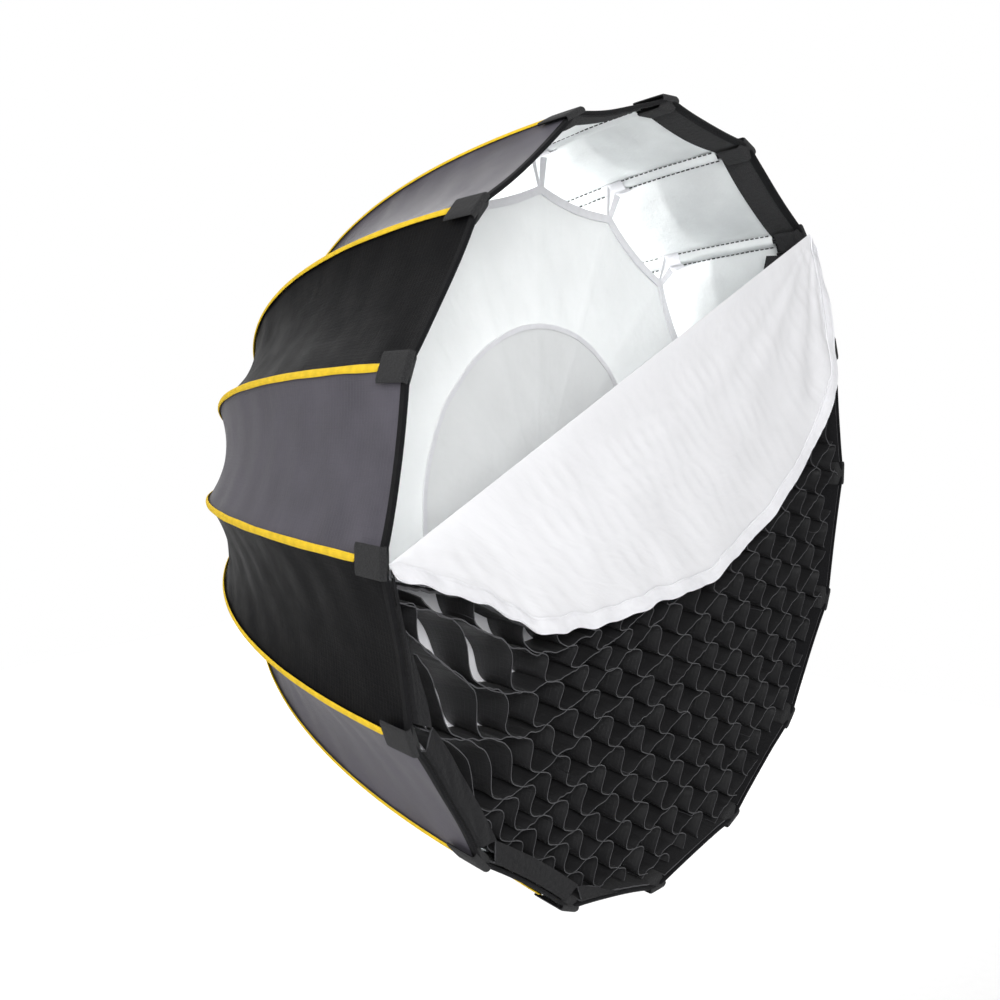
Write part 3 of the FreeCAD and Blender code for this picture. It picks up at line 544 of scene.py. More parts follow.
def rib_points(rib, t, side, inset):
    """Points beside a rib: side is metres along the rim from its seam."""
    t, side, inset = np.broadcast_arrays(t, side, inset)
    angle = np.full(t.shape, rib * STEP)
    return place(angle, *profile(t, inset)) + along_rim(angle) * side[..., None]


def lining_inset(t, side):
    """How far in from the seam the lining's face lies, that far along the rim from a rib."""
    radius, _ = profile(t)
    across = np.abs(side) / (2 * radius * math.sin(STEP / 2))
    return np.abs(side) * math.tan(STEP / 2) + gore_depth(t, across) + CLOTH + 0.0004


def over_rod(t, side, half, top):
    """Inset of cloth that lies on the lining at its sides and passes over the rod in the middle."""
    low = lining_inset(t, side)
    ridge = np.cos(np.clip(side / half, -1, 1) * math.pi / 2) ** 1.3
    return low + np.maximum(top - low, 0) * ridge


def add_piping(rib):
    """Yellow binding over the seam, domed over its cord, cut on the slant where the corner pocket starts."""
    width, height, steps = 0.0080, 0.0023, 110
    side = np.linspace(-1, 1, 9)[None, :]
    first, last = BAND_WIDTH - 0.001, PROFILE_LENGTH * 0.985
    share = np.linspace(0, 1, steps + 1)[:, None]
    along = first + (last - first) * share + 0.004 * side * (1 - share) ** 30
    dome = np.sqrt(np.maximum(0, 1 - 0.96 * side**2))
    wander = 0.0004 * waves(rib + 200, along, side, 0.11, 4.0, 3)
    outer = rib_points(rib, t_at(along), side * width / 2 + wander, -0.0001 - height * dome)
    inner = rib_points(rib, t_at(along), side * width / 2 + wander, 0.0)
    uv = cloth_uv(side * width / 2, along)
    piece = shell(f"seam_piping_{rib + 1:02d}", outer, inner, grid_normals(outer), uv, [YELLOW_BINDING] * 3)
    attach(piece, rib, "seam_piping")
    declare_sheet(piece, "stretched", ["canopy_gore_01_first_half_1"], *cut_size(outer))


def wrap_path(back_outer, back_inner, outside, inside, front_bulge, steps=8, deep=None):
    """Path from the outer face over the rim to the inner face, as (t, inset, forward) rows.

    The inner leg goes in from inside to deep over its first millimetres.
    """
    deep = inside if deep is None else deep
    out_leg = [(t_at(x), -outside, 0.0) for x in np.linspace(back_outer, 0.001, steps)]
    turn = np.linspace(0, math.pi, 9)
    middle, half = (inside - outside) / 2, (inside + outside) / 2
    bend = [(0.0, middle - half * math.cos(a), front_bulge * math.sin(a)) for a in turn]
    back = back_inner * np.linspace(0.12, 1, steps) ** 1.5
    in_leg = [(t_at(x), inside + (deep - inside) * float(smooth(x / 0.007)), 0.0) for x in back]
    return np.array(out_leg + bend + in_leg)


def add_corner_pocket(rib):
    """Loop webbing folded over the rim corner, round the rod's tip."""
    side = np.array([1, 0.97, 0.8, 0.4, 0, -0.4, -0.8, -0.97, -1])[None, :]
    path = wrap_path(POCKET_LENGTH, POCKET_LENGTH - 0.004, 0.0024, 0.0052, 0.0026, 14, 0.0134)
    t, inset, forward = (column[:, None] for column in path.T)
    puff = 1 - 0.22 * np.abs(side) ** 12
    centre, thick = 0.0059, 0.0018
    ragged = 0.0005 * waves(rib + 300, forward + inset, t * 0.4 + side, 0.01, 0.3, 4)
    outer = rib_points(rib, t, side * POCKET_WIDTH / 2 * (1 + 25 * ragged), centre + (inset - centre) * puff)
    outer[..., 1] -= forward * puff
    middle_line = outer[:, side.size // 2]
    along = np.concatenate([[0], np.linalg.norm(np.diff(middle_line, axis=0), axis=-1).cumsum()])[:, None]
    uv = cloth_uv(side * POCKET_WIDTH / 2, along)
    piece = sheet_of(f"corner_pocket_{rib + 1:02d}", outer, thick, WEBBING_SIDES, uv)
    attach(piece, rib, "corner_pockets")
    declare_sheet(piece, "folded", [f"rib_rod_{rib + 1:02d}"], *cut_size(outer))


def add_rim_pieces(gore):
    """Loop band inside the rim and the tape that binds the rim's edge, half with each rib."""
    band_back = np.linspace(0.0015, BAND_WIDTH, 10)[:, None]
    halves = (("first", gore, (0.015, 0.5)), ("second", gore + 1, (0.5, 0.985)))
    path = wrap_path(0.0065, 0.0065, 0.0005, 0.0034, 0.0014, 4)
    t, inset, forward = (column[:, None] for column in path.T)
    for side, rib, (start, end) in halves:
        across = np.linspace(start, end, 15)[None, :]
        outer = gore_surface(gore, t_at(band_back), across, 0.0013)
        part = f"{gore + 1:02d}_{side}"
        ends = GORE_WIDTH * across
        uv = cloth_uv(ends, band_back)
        band = sheet_of(f"rim_loop_band_{part}", outer, 0.0014, WEBBING_SIDES, uv)
        edge_points = gore_surface(gore, t, across, inset)
        edge_points[..., 1] -= forward
        uv = cloth_uv(ends, length_at(t) + forward)
        binding = sheet_of(f"rim_binding_{part}", edge_points, 0.0004, [BLACK_TAPE] * 3, uv)
        for piece, points in ((band, outer), (binding, edge_points)):
            attach(piece, rib, "rim_loop_band")
            declare_sheet(piece, "stretched", [f"canopy_gore_{part}_half_1"], *cut_size(points))
            squash_to_rib(piece, rib, FOLD_ZONES[0][2])


def add_sleeve(rib):
    """Silver sleeve sewn over the rod along the seam, with a row of dark stitches on each side."""
    half, top = 0.0105, 0.0106
    side = np.linspace(-1, 1, 17)[None, :]
    last = float(length_at(0.86))
    along = np.linspace(BAND_WIDTH, last, 120)[:, None]
    slack = 0.0004 * waves(rib + 400, along, side, 0.05, 3.0, 4)
    inset = over_rod(t_at(along), side * half, half, top) + slack
    points = rib_points(rib, t_at(along), side * half, inset)
    uv = cloth_uv(side * half, along)
    sleeve = sheet_of(f"rod_sleeve_{rib + 1:02d}", points, 0.0006, [SILVER_LINING] * 3, uv)
    attach(sleeve, rib, "rod_sleeves")
    declare_sheet(sleeve, "stretched", [f"rib_rod_{rib + 1:02d}"], *cut_size(points))
    add_stitches(rib, half - 0.0006, last)


def add_stitches(rib, row_side, last):
    """A row of stitches on each side of a rib, from the rim band to that length."""
    stitch, spacing, thread = 0.0042, 0.0068, 0.0011
    low, high = 0.0004, 0.0020
    corners, faces = [], []
    box_faces = [(0, 1, 2, 3), (7, 6, 5, 4), (0, 4, 5, 1), (1, 5, 6, 2), (2, 6, 7, 3), (3, 7, 4, 0)]
    for start in np.arange(BAND_WIDTH + 0.004, last - stitch, spacing):
        for row in (-1, 1):
            middle = row * row_side
            base = len(corners)
            for depth in (low, high):
                for back, off in ((0, -1), (stitch, -1), (stitch, 1), (0, 1)):
                    t = t_at(start + back)
                    inset = lining_inset(t, middle) + depth
                    corners.append(rib_points(rib, t, middle + off * thread / 2, inset))
            faces += [tuple(base + corner for corner in face) for face in box_faces]
    mesh = bpy.data.meshes.new(f"sleeve_stitches_{rib + 1:02d}")
    mesh.from_pydata(corners, [], faces)
    mesh.uv_layers.new(name="cloth")
    mesh.materials.append(DARK_THREAD)
    mesh.update()
    stitches = bpy.data.objects.new(mesh.name, mesh)
    bpy.context.scene.collection.objects.link(stitches)
    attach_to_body(stitches, rib_body(rib))


for number in range(RIBS):
    add_piping(number)
    add_corner_pocket(number)
    add_rim_pieces(number)
    add_sleeve(number)


# ---------------------------------------------------------------- baffle


BAFFLE_REACH, BAFFLE_RADIUS, PATCH_RADIUS = 0.378, 0.366, 0.2057


def polygon_radius(angle, corner_radius, scallop=0.0):
    """Distance from the axis to a 16-sided outline, pulled in a little between its corners."""
    within = np.mod(angle, STEP) / STEP
    straight = corner_radius * math.cos(STEP / 2) / np.cos((within - 0.5) * STEP)
    return straight - scallop * 4 * within * (1 - within)


def near_centre(angle):
    """The inner edge of a sector, almost a point."""
    return 0.001 + 0 * angle


def bend_to_rib(piece, rib, end_radius, reach):
    """Bakes the piece's placement into its mesh; the piece is not tied to the hub or bent to follow the rib.
    """
    start = place(rib * STEP, HUB_HOLD_RADIUS, reach)
    end = place(rib * STEP, end_radius, reach)
    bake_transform(piece)


def baffle_reach(angle, radius):
    """Soft drag lines from the corners, and a slight belly."""
    corner = np.abs(np.mod(angle / STEP + 0.5, 1) - 0.5) * 2
    drag = 0.0022 * np.exp(-corner * 3) * smooth(radius / BAFFLE_RADIUS)
    x, z = -np.sin(angle) * radius, np.cos(angle) * radius
    folds = 0.0016 * waves(7, x, z, 0.21, 0.17, 6) + 0.0006 * waves(8, x, z, 0.05, 0.06, 6)
    edge = 1 - smooth((radius / BAFFLE_RADIUS - 0.9) / 0.1)
    return BAFFLE_REACH + drag + folds * (0.3 + 0.7 * edge)


def polar_sheet(name, rib, inner, outer, thick, lift, materials, surface, columns, rows):
    """A sector of a flat cloth from one radius to another, lifted off a surface."""
    angle = (rib + np.linspace(-0.5, 0.5, columns)[None, :]) * STEP
    share = np.linspace(0, 1, rows)[:, None]
    radius = inner(angle) + (outer(angle) - inner(angle)) * share
    angle = np.broadcast_to(angle, radius.shape)
    points = place(angle, radius, surface(angle, radius) + lift)
    uv = cloth_uv(points[..., 0], points[..., 2])
    return sheet_of(name, points[::-1], thick, materials, uv[::-1])


def add_baffle(rib):
    """A sector of the inner baffle with its bound edge and its centre patch."""
    number = f"{rib + 1:02d}"

    def rim(angle):
        return polygon_radius(angle, BAFFLE_RADIUS, 0.005)

    def bound(angle):
        return rim(angle) - 0.009

    def patch_edge(angle):
        return PATCH_RADIUS + 0 * angle

    def patch_hem(angle):
        return PATCH_RADIUS - 0.006 + 0 * angle

    def tight_rim(angle):
        return rim(angle) + 0.0008

    cloth = [WHITE_BAFFLE] * 3
    tape_cloth = [WHITE_BINDING] * 3
    layers = [
        ("inner_baffle", near_centre, rim, 0.0006, 0.0008, cloth, "white_diffusion", 26),
        ("baffle_patch", near_centre, patch_edge, 0.0006, 0.0022, cloth, "white_diffusion", 16),
        ("baffle_patch_hem", patch_hem, patch_edge, 0.0010, 0.0034, tape_cloth, "white_binding", 5),
        ("baffle_binding", bound, tight_rim, 0.0024, 0.0022, tape_cloth, "white_binding", 5),
    ]
    for label, inner, outer, thick, lift, materials, slot, rows in layers:
        name = f"{label}_{number}"
        piece = polar_sheet(name, rib, inner, outer, thick, lift, materials, baffle_reach, 17, rows)
        if label != "baffle_patch_hem":
            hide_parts(label)
        radius = float(outer(np.array([0.0]))[0])
        depth = float(radius - inner(np.array([0.0]))[0])
        declare_sheet(piece, "stretched", [f"baffle_strap_{number}_left"], radius * STEP, depth)
        bend_to_rib(piece, rib, BAFFLE_RADIUS, BAFFLE_REACH)


def add_baffle_straps(rib):
    """Two short straps that spread from a baffle corner to the lining, and the patch they are sewn to."""
    number = f"{rib + 1:02d}"
    seam_t = float(np.interp(BAFFLE_REACH, profile(T_FINE)[1][::-1], T_FINE[::-1]))
    seam_length = float(length_at(seam_t))
    lining_radius = float(profile(seam_t, 0.012)[0])
    share = np.linspace(0, 1, 12)[:, None]
    across = np.linspace(-1, 1, 7)[None, :]
    for side, sign in (("left", 1), ("right", -1)):
        radius = BAFFLE_RADIUS - 0.006 + (lining_radius - BAFFLE_RADIUS + 0.006) * share
        off = sign * (0.001 + 0.0095 * share) + across * (0.0035 + 0.0015 * share)
        reach = BAFFLE_REACH + 0.0052 - 0.004 * share + 0.001 * across * sign
        angles = np.full(off.shape, rib * STEP)
        points = place(angles, radius, reach) + along_rim(angles) * off[..., None]
        strap = sheet_of(f"baffle_strap_{number}_{side}", points, 0.0009, [WHITE_BINDING] * 3)
        attach(strap, rib, "baffle_tabs")
        declare_sheet(strap, "stretched", [f"inner_baffle_{number}"], *cut_size(points))
    back = np.linspace(seam_length - 0.016, seam_length + 0.012, 12)[:, None]
    across = np.linspace(-0.0135, 0.0135, 13)[None, :]
    points = rib_points(rib, t_at(back), across, over_rod(t_at(back), across, 0.0115, 0.0115) + 0.0009)
    patch = sheet_of(f"baffle_tab_{number}", points, 0.0007, [WHITE_BINDING] * 3, cloth_uv(across, back))
    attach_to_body(patch, rib_body(rib))
    declare_sheet(patch, "stretched", [f"rod_sleeve_{number}"], *cut_size(points))


for number in range(RIBS):
    add_baffle_straps(number)
    add_baffle(number)


# ---------------------------------------------------------------- front diffuser


DIFFUSER_REACH, FRONT_RADIUS = 0.508, 0.428
FOLD_MIDDLE = (FOLD_RIGHT + FOLD_LEFT) / 2 * STEP
FOLD_DISTANCE = RIM_RADIUS * math.cos((FOLD_LEFT - FOLD_RIGHT) / 2 * STEP) - 0.001
FLAP_REACH = 0.5672


def flat(x, z, reach):
    """Points from x, z and reach."""
    return np.stack(np.broadcast_arrays(x, -np.asarray(reach, float), z), -1)


def fixed_outline(angle):
    """Edge of the part that stays closed: the rim, but the fold line on the peeled side."""
    rim = polygon_radius(angle, FRONT_RADIUS)
    turn = np.mod(angle - FOLD_MIDDLE + math.pi, math.tau) - math.pi
    half_fold = (FOLD_LEFT - FOLD_RIGHT) / 2 * STEP
    chord = FOLD_DISTANCE / np.maximum(np.cos(turn), 0.05)
    return np.where(np.abs(turn) < half_fold, np.minimum(rim, chord), rim)


def diffuser_reach(angle, radius):
    """Taut cloth with a few long shallow folds, which comes forward to the fold line."""
    x, z = -np.sin(angle) * radius, np.cos(angle) * radius
    below_fold = FOLD_DISTANCE - radius * np.cos(angle - FOLD_MIDDLE)
    rise = (FLAP_REACH - 0.0015 - DIFFUSER_REACH) * (1 - smooth(below_fold / 0.045))
    folds = 0.0018 * waves(31, x, z, 0.25, 0.16, 6) + 0.0007 * waves(32, x, z, 0.06, 0.05, 5)
    return DIFFUSER_REACH + rise + folds * smooth(below_fold / 0.06)


def add_fixed_diffuser(rib):
    """A sector of the part that stays closed."""
    number = f"{rib + 1:02d}"
    name, thick, lift, cloth = f"diffuser_fixed_part_{number}", 0.0006, 0.0004, [WHITE_DIFFUSION] * 3
    piece = polar_sheet(name, rib, near_centre, fixed_outline, thick, lift, cloth, diffuser_reach, 33, 30)
    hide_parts("diffuser_fixed_part")
    radius = float(fixed_outline(np.array([rib * STEP]))[0])
    declare_sheet(piece, "stretched", [f"rim_loop_band_{number}_first"], radius * STEP, radius)
    bend_to_rib(piece, rib, FRONT_RADIUS, DIFFUSER_REACH)


def soft_line(points, count, reach_out):
    """A line through the points, evenly spaced, its corners rounded over about that length."""
    fine_count = 1200
    points = np.array(points, float)
    along = np.concatenate([[0], np.linalg.norm(np.diff(points, axis=0), axis=-1).cumsum()])
    fine = np.linspace(0, along[-1], fine_count)
    line = np.stack([np.interp(fine, along, points[:, axis]) for axis in (0, 1)], -1)
    half = max(1, int(reach_out / along[-1] * fine_count / 2))
    padded_line = np.concatenate([line[:1].repeat(half, 0), line, line[-1:].repeat(half, 0)])
    sums = np.concatenate([np.zeros((1, 2)), padded_line.cumsum(axis=0)])
    window = 2 * half + 1
    line = (sums[window:] - sums[:-window]) / window
    line[0], line[-1] = points[0], points[-1]
    picked = np.linspace(0, fine_count - 1, count)
    return np.stack([np.interp(picked, np.arange(fine_count), line[:, axis]) for axis in (0, 1)], -1)


FLAP_EDGE = [
    (0.320, 0.300), (0.356, 0.248), (0.379, 0.196), (0.384, 0.130),
    (0.321, 0.034), (0.222, -0.041), (0.086, -0.098), (-0.020, -0.102),
    (-0.117, -0.111), (-0.238, -0.101), (-0.315, -0.059), (-0.444, -0.012),
]
FOLD_ENDS = np.array([(0.318, 0.318), (-0.450, 0.0)])
SOFT_CORNER, FLAP_EDGE_LENGTH, HEM_WIDTH = 0.030, 1.28, 0.020


def flap_points(across, down, lift):
    """Points of the peeled part: across is 0 at its right end, down 0 at the fold and 1 at its edge."""
    across, down = np.broadcast_arrays(across, down)
    edge = soft_line(FLAP_EDGE, 400, SOFT_CORNER)
    share = np.linspace(0, 1, len(edge))
    edge_x, edge_z = (np.interp(across, share, edge[:, axis]) for axis in (0, 1))
    length = across * FLAP_EDGE_LENGTH
    scallop = 0.0026 * waves(41, length, 0 * length, 0.085, 1.0, 3)
    fold_way = FOLD_ENDS[1] - FOLD_ENDS[0]
    fold_x, fold_z = (FOLD_ENDS[0, axis] + fold_way[axis] * across for axis in (0, 1))
    drop = np.maximum(np.hypot(edge_x - fold_x, edge_z - fold_z), 1e-4)
    stretch = down * (1 + scallop / drop * smooth(down))
    x, z = fold_x + (edge_x - fold_x) * stretch, fold_z + (edge_z - fold_z) * stretch
    from_corner_x, from_corner_z = x - FOLD_ENDS[0, 0], z - FOLD_ENDS[0, 1]
    distance = np.hypot(from_corner_x, from_corner_z)
    bearing = np.arctan2(from_corner_z, from_corner_x)
    fan = 0.0045 * np.sin(bearing * 17 + 1.2 * np.sin(bearing * 5))
    fan = fan * smooth(distance / 0.16) * smooth(down * 3) * np.exp(-distance * 2.2)
    broad = 0.0032 * waves(42, x, z, 0.22, 0.13, 6) * smooth(down * 2.5)
    fine = 0.0009 * waves(43, x, z, 0.035, 0.030, 6) * smooth(down * 4)
    crease_x, crease_z = x + 0.060, z - 0.060
    cluster = np.exp(-((crease_x / 0.055) ** 2) - (crease_z / 0.05) ** 2)
    crease = 0.0011 * cluster * waves(45, crease_z - 0.35 * crease_x, crease_x, 0.022, 0.09, 6)
    flutter = 0.0032 * (1 + waves(44, length, 0 * length, 0.14, 1.0, 4)) * smooth((down - 0.55) / 0.45)
    curl = 0.010 * np.exp(-(((across - 0.20) / 0.07) ** 2)) * smooth((down - 0.8) / 0.2)
    roll = 0.0016 * np.exp(-down * drop / 0.006)
    reach = FLAP_REACH + 0.0022 + fan * 0.6 + broad * 0.6 + fine + crease + flutter + curl - roll
    return flat(x, z, np.maximum(reach, FLAP_REACH) + lift), drop


def add_flap():
    """The peeled part of the diffuser, folded down over the grid, and the hook tape on its edge."""
    across = np.linspace(0.002, 0.998, 190)[None, :]
    down = np.linspace(0, 1, 64)[:, None]
    points, drop = flap_points(across, down, 0.0)
    over = np.linspace(1, 0, 17)[:, None]
    hem_down = 1 - np.minimum(1.0, HEM_WIDTH / drop[-1:]) * over
    stitched = 0.0008 * (np.exp(-(((over - 0.86) / 0.05) ** 2)) + np.exp(-(((over - 0.14) / 0.05) ** 2)))
    hem_points, _ = flap_points(np.broadcast_to(across, hem_down.shape), hem_down, 0.0018 - stitched)
    anchor = tuple(flat(*FOLD_ENDS.mean(axis=0), FLAP_REACH))
    layers = [
        ("diffuser_flap", points, 0.0006, WHITE_DIFFUSION, "white_diffusion", (0.84, 0.30)),
        ("flap_hook_tape", hem_points, 0.0012, WHITE_BINDING, "white_binding", (1.30, HEM_WIDTH)),
    ]
    for name, grid, thick, material, slot, size in layers:
        piece = sheet_of(name, grid[::-1], thick, [material] * 3)
        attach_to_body(piece, "flap")
        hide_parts(name)
        rests = ["grid_strips_01"] if name == "diffuser_flap" else ["diffuser_flap"]
        declare_sheet(piece, "folded", rests, *size)
        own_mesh(piece)


# ---------------------------------------------------------------- honeycomb grid


GRID_BACK, GRID_FRONT, GRID_SPACING = 0.5105, 0.5580, 0.048
GRID_X = np.linspace(-0.46, 0.46, 461)
TOP_EDGE = [
    (-0.460, -0.010), (-0.432, -0.019), (-0.329, -0.047), (-0.245, -0.090),
    (-0.195, -0.104), (-0.136, -0.104), (-0.082, -0.094), (0.000, -0.065),
    (0.100, 0.005), (0.200, 0.100), (0.280, 0.205), (0.312, 0.292),
    (0.460, 0.700),
]
FIRST_EDGE = [
    (-0.460, -0.026), (-0.432, -0.034), (-0.329, -0.073), (-0.245, -0.117),
    (-0.195, -0.128), (-0.136, -0.120), (-0.082, -0.106), (0.000, -0.068),
    (0.100, 0.000), (0.200, 0.090), (0.280, 0.190), (0.460, 0.600),
]
SECOND_EDGE = [
    (-0.460, -0.040), (-0.422, -0.060), (-0.343, -0.124), (-0.289, -0.149),
    (-0.245, -0.159), (-0.176, -0.156), (-0.057, -0.124), (0.050, -0.074),
    (0.150, -0.018), (0.250, 0.050), (0.350, 0.124), (0.460, 0.220),
]
THIRD_EDGE = [
    (-0.460, -0.130), (-0.360, -0.180), (-0.284, -0.197), (-0.235, -0.206),
    (-0.146, -0.186), (-0.042, -0.146), (0.046, -0.104), (0.150, -0.055),
    (0.250, 0.000), (0.350, 0.065), (0.460, 0.160),
]


def height_line(points):
    """Heights over GRID_X of a soft line through the points."""
    line = soft_line(points, 900, SOFT_CORNER)
    return np.interp(GRID_X, line[:, 0], line[:, 1])


def grid_lines():
    """Heights over GRID_X of the long strips, highest first."""
    edges = (TOP_EDGE, FIRST_EDGE, SECOND_EDGE, THIRD_EDGE)
    top, first, second, third = (height_line(points) for points in edges)
    hidden = [second + GRID_SPACING * number for number in range(7, 0, -1)]
    near_top = np.where(GRID_X < -0.03, first, second + GRID_SPACING)
    joining = near_top + (hidden[-1] - near_top) * smooth((GRID_X + 0.10) / 0.12)
    hidden[-1] = np.where(GRID_X < 0.02, joining, hidden[-1])
    regular = 0.40 * GRID_X + 0.315 * GRID_X**2
    lower = [np.minimum(-0.128 - GRID_SPACING * n + regular, third - 0.043 * n) for n in range(1, 11)]
    return top, hidden + [second, third] + lower


GRID_TOP, GRID_LINES = grid_lines()


def in_grid(x, z, margin=0.0):
    """True inside the border band and below the free top edge."""
    inside = np.hypot(x, z) < polygon_radius(np.arctan2(-x, z), 0.4325)
    return inside & (z < np.interp(x, GRID_X, GRID_TOP) - margin)


def cell_phase(x, z):
    """How far down a cell a point lies, from 0 at one long strip to 1 at the next."""
    heights = np.array([np.interp(x, GRID_X, line) for line in GRID_LINES])
    below = np.clip((heights > z).sum(axis=0), 1, len(GRID_LINES) - 1)
    upper = np.take_along_axis(heights, below[None] - 1, 0)[0]
    lower = np.take_along_axis(heights, below[None], 0)[0]
    return np.clip((upper - z) / np.maximum(upper - lower, 1e-6), 0, 1)


def runs_by_rib(x, z, margin=0.0):
    """Splits a line into lengths that lie inside the grid and nearest to one rib, as (rib, slice)."""
    inside = in_grid(x, z, margin)
    rib = np.mod(np.round(np.arctan2(-x, z) / STEP), RIBS).astype(int)
    start = 0
    for i in range(1, len(x) + 1):
        if i == len(x) or inside[i] != inside[start] or rib[i] != rib[start]:
            stop = min(i + 1, len(x)) if i < len(x) and inside[i] else i
            if inside[start] and stop - start > 2:
                yield int(rib[start]), slice(start, stop)
            start = i


def wall(x, z, wave_x, wave_z, thick, seed):
    """A strip of cloth on edge: its front edge waves more than its back edge and droops a little."""
    depth = np.linspace(0, 1, 6)[:, None]
    swing = (0.45 + 0.55 * depth) * np.minimum(1.0, 1.06 - 0.06 * depth)
    along = np.concatenate([[0], np.hypot(np.diff(x), np.diff(z)).cumsum()])
    droop = 0.0022 * depth**3 * (1 + 0.5 * waves(seed, along, 0 * along, 0.05, 1.0, 3))
    ripple = 0.0009 * depth * waves(seed + 1, along, 0 * along, 0.021, 1.0, 3)
    front = GRID_FRONT + 0.0007 * waves(seed + 2, along, 0 * along, 0.06, 1.0, 3)
    reach = GRID_BACK + (front - GRID_BACK) * depth
    points = flat(x + wave_x * swing, z + wave_z * swing - droop + ripple, reach)
    normals = grid_normals(points)
    uv = cloth_uv(along, depth * (GRID_FRONT - GRID_BACK))
    return points + normals * thick / 2, points - normals * thick / 2, normals, uv


def add_grid():
    """Long strips from lower left to upper right, and waved strips across them, split by rib."""
    parts, lengths = {rib: [] for rib in range(RIBS)}, {rib: 0.0 for rib in range(RIBS)}
    tops = {rib: [] for rib in range(RIBS)}
    top_lengths = dict(lengths)

    def store(target, sizes, x, z, wave_x, wave_z, thick, seed, margin):
        for rib, run in runs_by_rib(x, z, margin):
            strip = wall(x[run], z[run], wave_x[run], wave_z[run], thick, seed)
            target[rib].append(shell_arrays(*strip))
            sizes[rib] += float(np.hypot(np.diff(x[run]), np.diff(z[run])).sum())

    for number, heights in enumerate(GRID_LINES):
        shift = 0.0012 * waves(60 + number, GRID_X, 0 * GRID_X, 0.05, 1.0, 3)
        store(parts, lengths, GRID_X, heights + shift, 0 * GRID_X, shift, 0.0011, 500 + number, 0.006)
    store(tops, top_lengths, GRID_X, GRID_TOP - 0.0012, 0 * GRID_X, 0 * GRID_X, 0.0024, 490, 0.0)
    for number, start_x in enumerate(np.arange(-0.66, 0.62, 0.0405)):
        start_z = float(np.interp(start_x, GRID_X, GRID_LINES[8]))
        down, up = [(start_x, start_z)], [(start_x, start_z)]
        for line, sign in ((down, 1), (up, -1)):
            while -0.46 < line[-1][1] < 0.46:
                x, z = line[-1]
                slope = np.interp(x, [-0.4, 0.4], [0.84, 0.364])
                line.append((x + sign * slope * 0.003, z - sign * 0.003))
        path = np.array(up[::-1] + down[1:])
        x, z = path.T
        phase = cell_phase(x, z)
        swing = 0.0105 * np.sin(math.tau * phase) + 0.002 * np.sin(math.pi * phase)
        swing *= 1 + 0.30 * waves(80 + number, z, x, 0.12, 0.5, 4)
        store(parts, lengths, x, z, swing * 0.93, swing * 0.36, 0.0010, 540 + number, 0.002)
    groups = (
        ("grid_strips", parts, lengths, GRID_CLOTH, "black_grid_cloth"),
        ("grid_top_band", tops, top_lengths, BLACK_WEBBING, "black_webbing"),
    )
    for label, group, sizes, cloth, slot in groups:
        for rib in range(RIBS):
            if not group[rib]:
                continue
            # The strips' edge faces take the lighter edge colour, a painted highlight
            piece = joined(f"{label}_{rib + 1:02d}", group[rib], [cloth, cloth, GRID_EDGE_HIGHLIGHT])
            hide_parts("grid_strips")
            rests_on = [f"grid_border_{rib + 1:02d}_first"]
            declare_sheet(piece, "stretched", rests_on, sizes[rib], GRID_FRONT - GRID_BACK)
            bend_to_rib(piece, rib, FRONT_RADIUS, DIFFUSER_REACH)


# Where the border turns in over the grid, and how near it comes to the rib there and at the rim.
LIP_WIDTH, LIP_REACH = 0.022, 0.5648
LIP_GAP, BORDER_GAP = 0.025, 0.10


def add_grid_border(gore):
    """Webbing band round the grid, on the loop band; at lower left its edge turns in over the grid."""
    back = np.linspace(0.0010, BAND_WIDTH, 12)[:, None]
    halves = (("first", gore, (BORDER_GAP, 0.5)), ("second", gore + 1, (0.5, 1 - BORDER_GAP)))
    for side, rib, (start, end) in halves:
        across = np.linspace(start, end, 21)[None, :]
        sag = 0.0009 * waves(gore + 90, across * GORE_WIDTH, back, 0.07, 0.05, 5)
        points = gore_surface(gore, t_at(back), across, 0.0046)
        inward = -outward(np.full(points.shape[1], (gore + 0.5) * STEP))
        points += inward * np.abs(sag)[..., None]
        place_on_rim = gore + across[0]
        lip = LIP_WIDTH * smooth((place_on_rim - 4.2) / 0.8) * smooth((7.6 - place_on_rim) / 0.6)
        back_rows = back
        if lip.max() > 0.004:
            share = np.linspace(1, 0.06, 9)[:, None]
            spread = (BORDER_GAP - LIP_GAP) / (0.5 - BORDER_GAP) * share * (across - 0.5)
            turned = gore_surface(gore, t_at(back[0]), across + spread, 0.0046)
            turned += inward * (np.maximum(lip, 0.003) * share)[..., None]
            ripple = 0.0006 * waves(gore + 70, place_on_rim * GORE_WIDTH, share, 0.05, 0.5, 4)
            turned[..., 1] = -(LIP_REACH + ripple)
            points = np.concatenate([turned, points])
            back_rows = np.concatenate([-lip.max() * share, back])
        name = f"grid_border_{gore + 1:02d}_{side}"
        # The border's edge faces take the lighter edge colour, a painted highlight
        materials = [BORDER_WEBBING, BORDER_WEBBING, GRID_EDGE_HIGHLIGHT]
        piece = sheet_of(name, points, 0.0018, materials, cloth_uv(across * GORE_WIDTH, back_rows))
        attach(piece, rib, "grid_border")
        declare_sheet(piece, "stretched", [f"rim_loop_band_{gore + 1:02d}_{side}"], *cut_size(points))
        squash_to_rib(piece, rib, FOLD_ZONES[0][2])


for number in range(FOLD_LEFT, RIBS + FOLD_RIGHT):
    add_grid_border(number)
add_grid()
for number in range(RIBS):
    add_fixed_diffuser(number)
add_flap()


# ---------------------------------------------------------------- hub and hardware


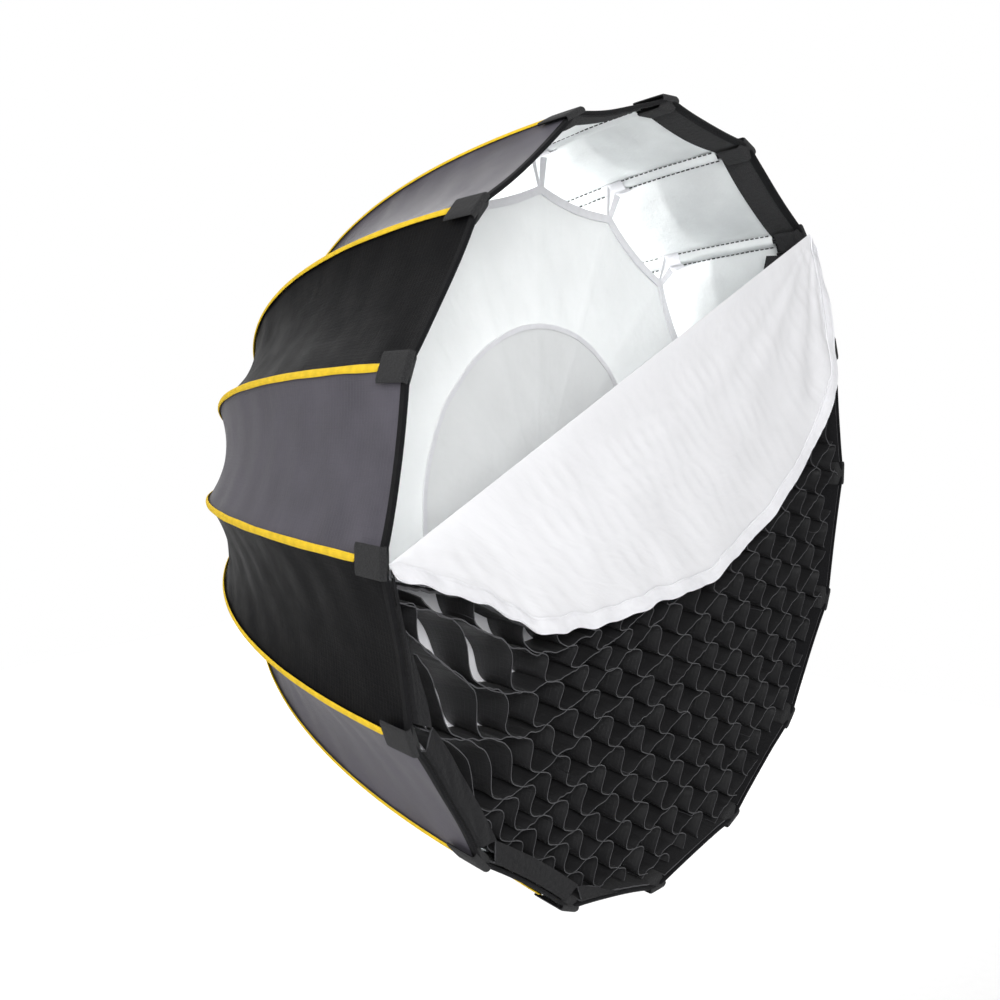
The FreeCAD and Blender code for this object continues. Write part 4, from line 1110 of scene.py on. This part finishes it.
def add_hub_cuff():
    """Webbing strap that clamps the canopy's small end on the hub, its end overlapped and stitched."""
    cuff_radius, turns = 0.0984, 1.06
    angle = np.linspace(0, math.tau * turns, 220)[None, :]
    reach = np.linspace(0.0135, 0.0195, 7)[:, None]
    lap = 0.0011 * smooth((angle - math.tau) / 0.12 + 0.5)
    radius = cuff_radius + lap + 0.0002 * waves(95, angle * 0.1, reach, 0.02, 0.004, 4)
    points = place(angle, radius, reach)
    strap = sheet_of("hub_cuff_strap", points, 0.0009, WEBBING_SIDES)
    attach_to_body(strap, "hub")
    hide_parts("hub_cuff")
    declare_sheet(strap, "stretched", ["hub_ring"], cuff_radius * math.tau * turns, LEAST_SIDE)


add_hub_cuff()

HARDWARE = {
    "adapter_ring": BARE_METAL,
    "hub_ring": POWDER_COAT,
    "retaining_ring": POWDER_COAT,
    "retaining_screws": STEEL,
    "arm_pins": STEEL,
    "detent_plungers": STEEL,
    "clamp_screw": STEEL,
    "clamp_knob": PLASTIC,
}
for name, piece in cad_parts.items():
    material = HARDWARE.get(name)
    if name.startswith("rib_arm"):
        material = STEEL
    if name.startswith("rib_rod"):
        material = GLASS_FIBRE
    if material:
        piece.data.materials.clear()
        piece.data.materials.append(material)


# ---------------------------------------------------------------- camera, lights and floor


def add_light(name, place_at, size, power, aim=(0, -0.3, 0)):
    """A soft area light, off the object, that points at aim."""
    light = bpy.data.lights.new(name, "AREA")
    light.energy = power
    light.size = size
    lamp = bpy.data.objects.new(name, light)
    bpy.context.scene.collection.objects.link(lamp)
    lamp.location = place_at
    lamp.rotation_euler = (Vector(aim) - Vector(place_at)).to_track_quat("-Z", "Y").to_euler()


camera_data = bpy.data.cameras.new("camera")
camera_data.lens = 49.5
camera = bpy.data.objects.new("camera", camera_data)
bpy.context.scene.collection.objects.link(camera)
camera.location = (-1.2971, -1.4002, 0.2196)
camera.rotation_euler = Vector((0.7616, 0.6337, -0.1356)).to_track_quat("-Z", "Y").to_euler()
bpy.context.scene.camera = camera

FLOOR_SIDE, FLOOR_Z = 3.2, -1.1
floor_mesh = bpy.data.meshes.new("floor")
floor_corners = [(x * FLOOR_SIDE, y * FLOOR_SIDE, FLOOR_Z) for x, y in ((-1, -1), (1, -1), (1, 1), (-1, 1))]
floor_mesh.from_pydata(floor_corners, [], [(0, 1, 2, 3)])
floor = bpy.data.objects.new("floor", floor_mesh)
bpy.context.scene.collection.objects.link(floor)
floor_mesh.materials.append(hard_material("pale_floor", (0.90, 0.90, 0.90), 0.9, 0.01, 0.0001, 0.01))

add_light("key_light", (-1.9, -2.3, 0.9), 1.2, 66)
add_light("top_light", (-1.6, 0.6, 2.2), 1.4, 18)
add_light("lamp_in_the_head", (0, -0.050, 0), 0.07, 3.4, (0, -1, 0))
add_light("floor_light", (2.4, 2.2, 1.4), 3.0, 95, (2.4, 2.2, FLOOR_Z))

world = bpy.data.worlds.new("studio")
bpy.context.scene.world = world
world.use_nodes = True
tree = world.node_tree
background = tree.nodes["Background"]
background.inputs["Color"].default_value = (1.0, 1.0, 1.0, 1.0)
towards = node(tree, "ShaderNodeTexCoord").outputs["Generated"]
facing = {0: towards, 1: (0.77, 0.64, 0.0)}
facing = node(tree, "ShaderNodeVectorMath", facing, operation="DOT_PRODUCT").outputs["Value"]
glow = {"Value": facing, "From Min": -0.2, "From Max": 0.7, "To Min": 0.36, "To Max": 1.0}
strength = node(tree, "ShaderNodeMapRange", glow, interpolation_type="SMOOTHSTEP").outputs["Result"]
tree.links.new(strength, background.inputs["Strength"])
bpy.context.scene.view_settings.view_transform = "Standard"
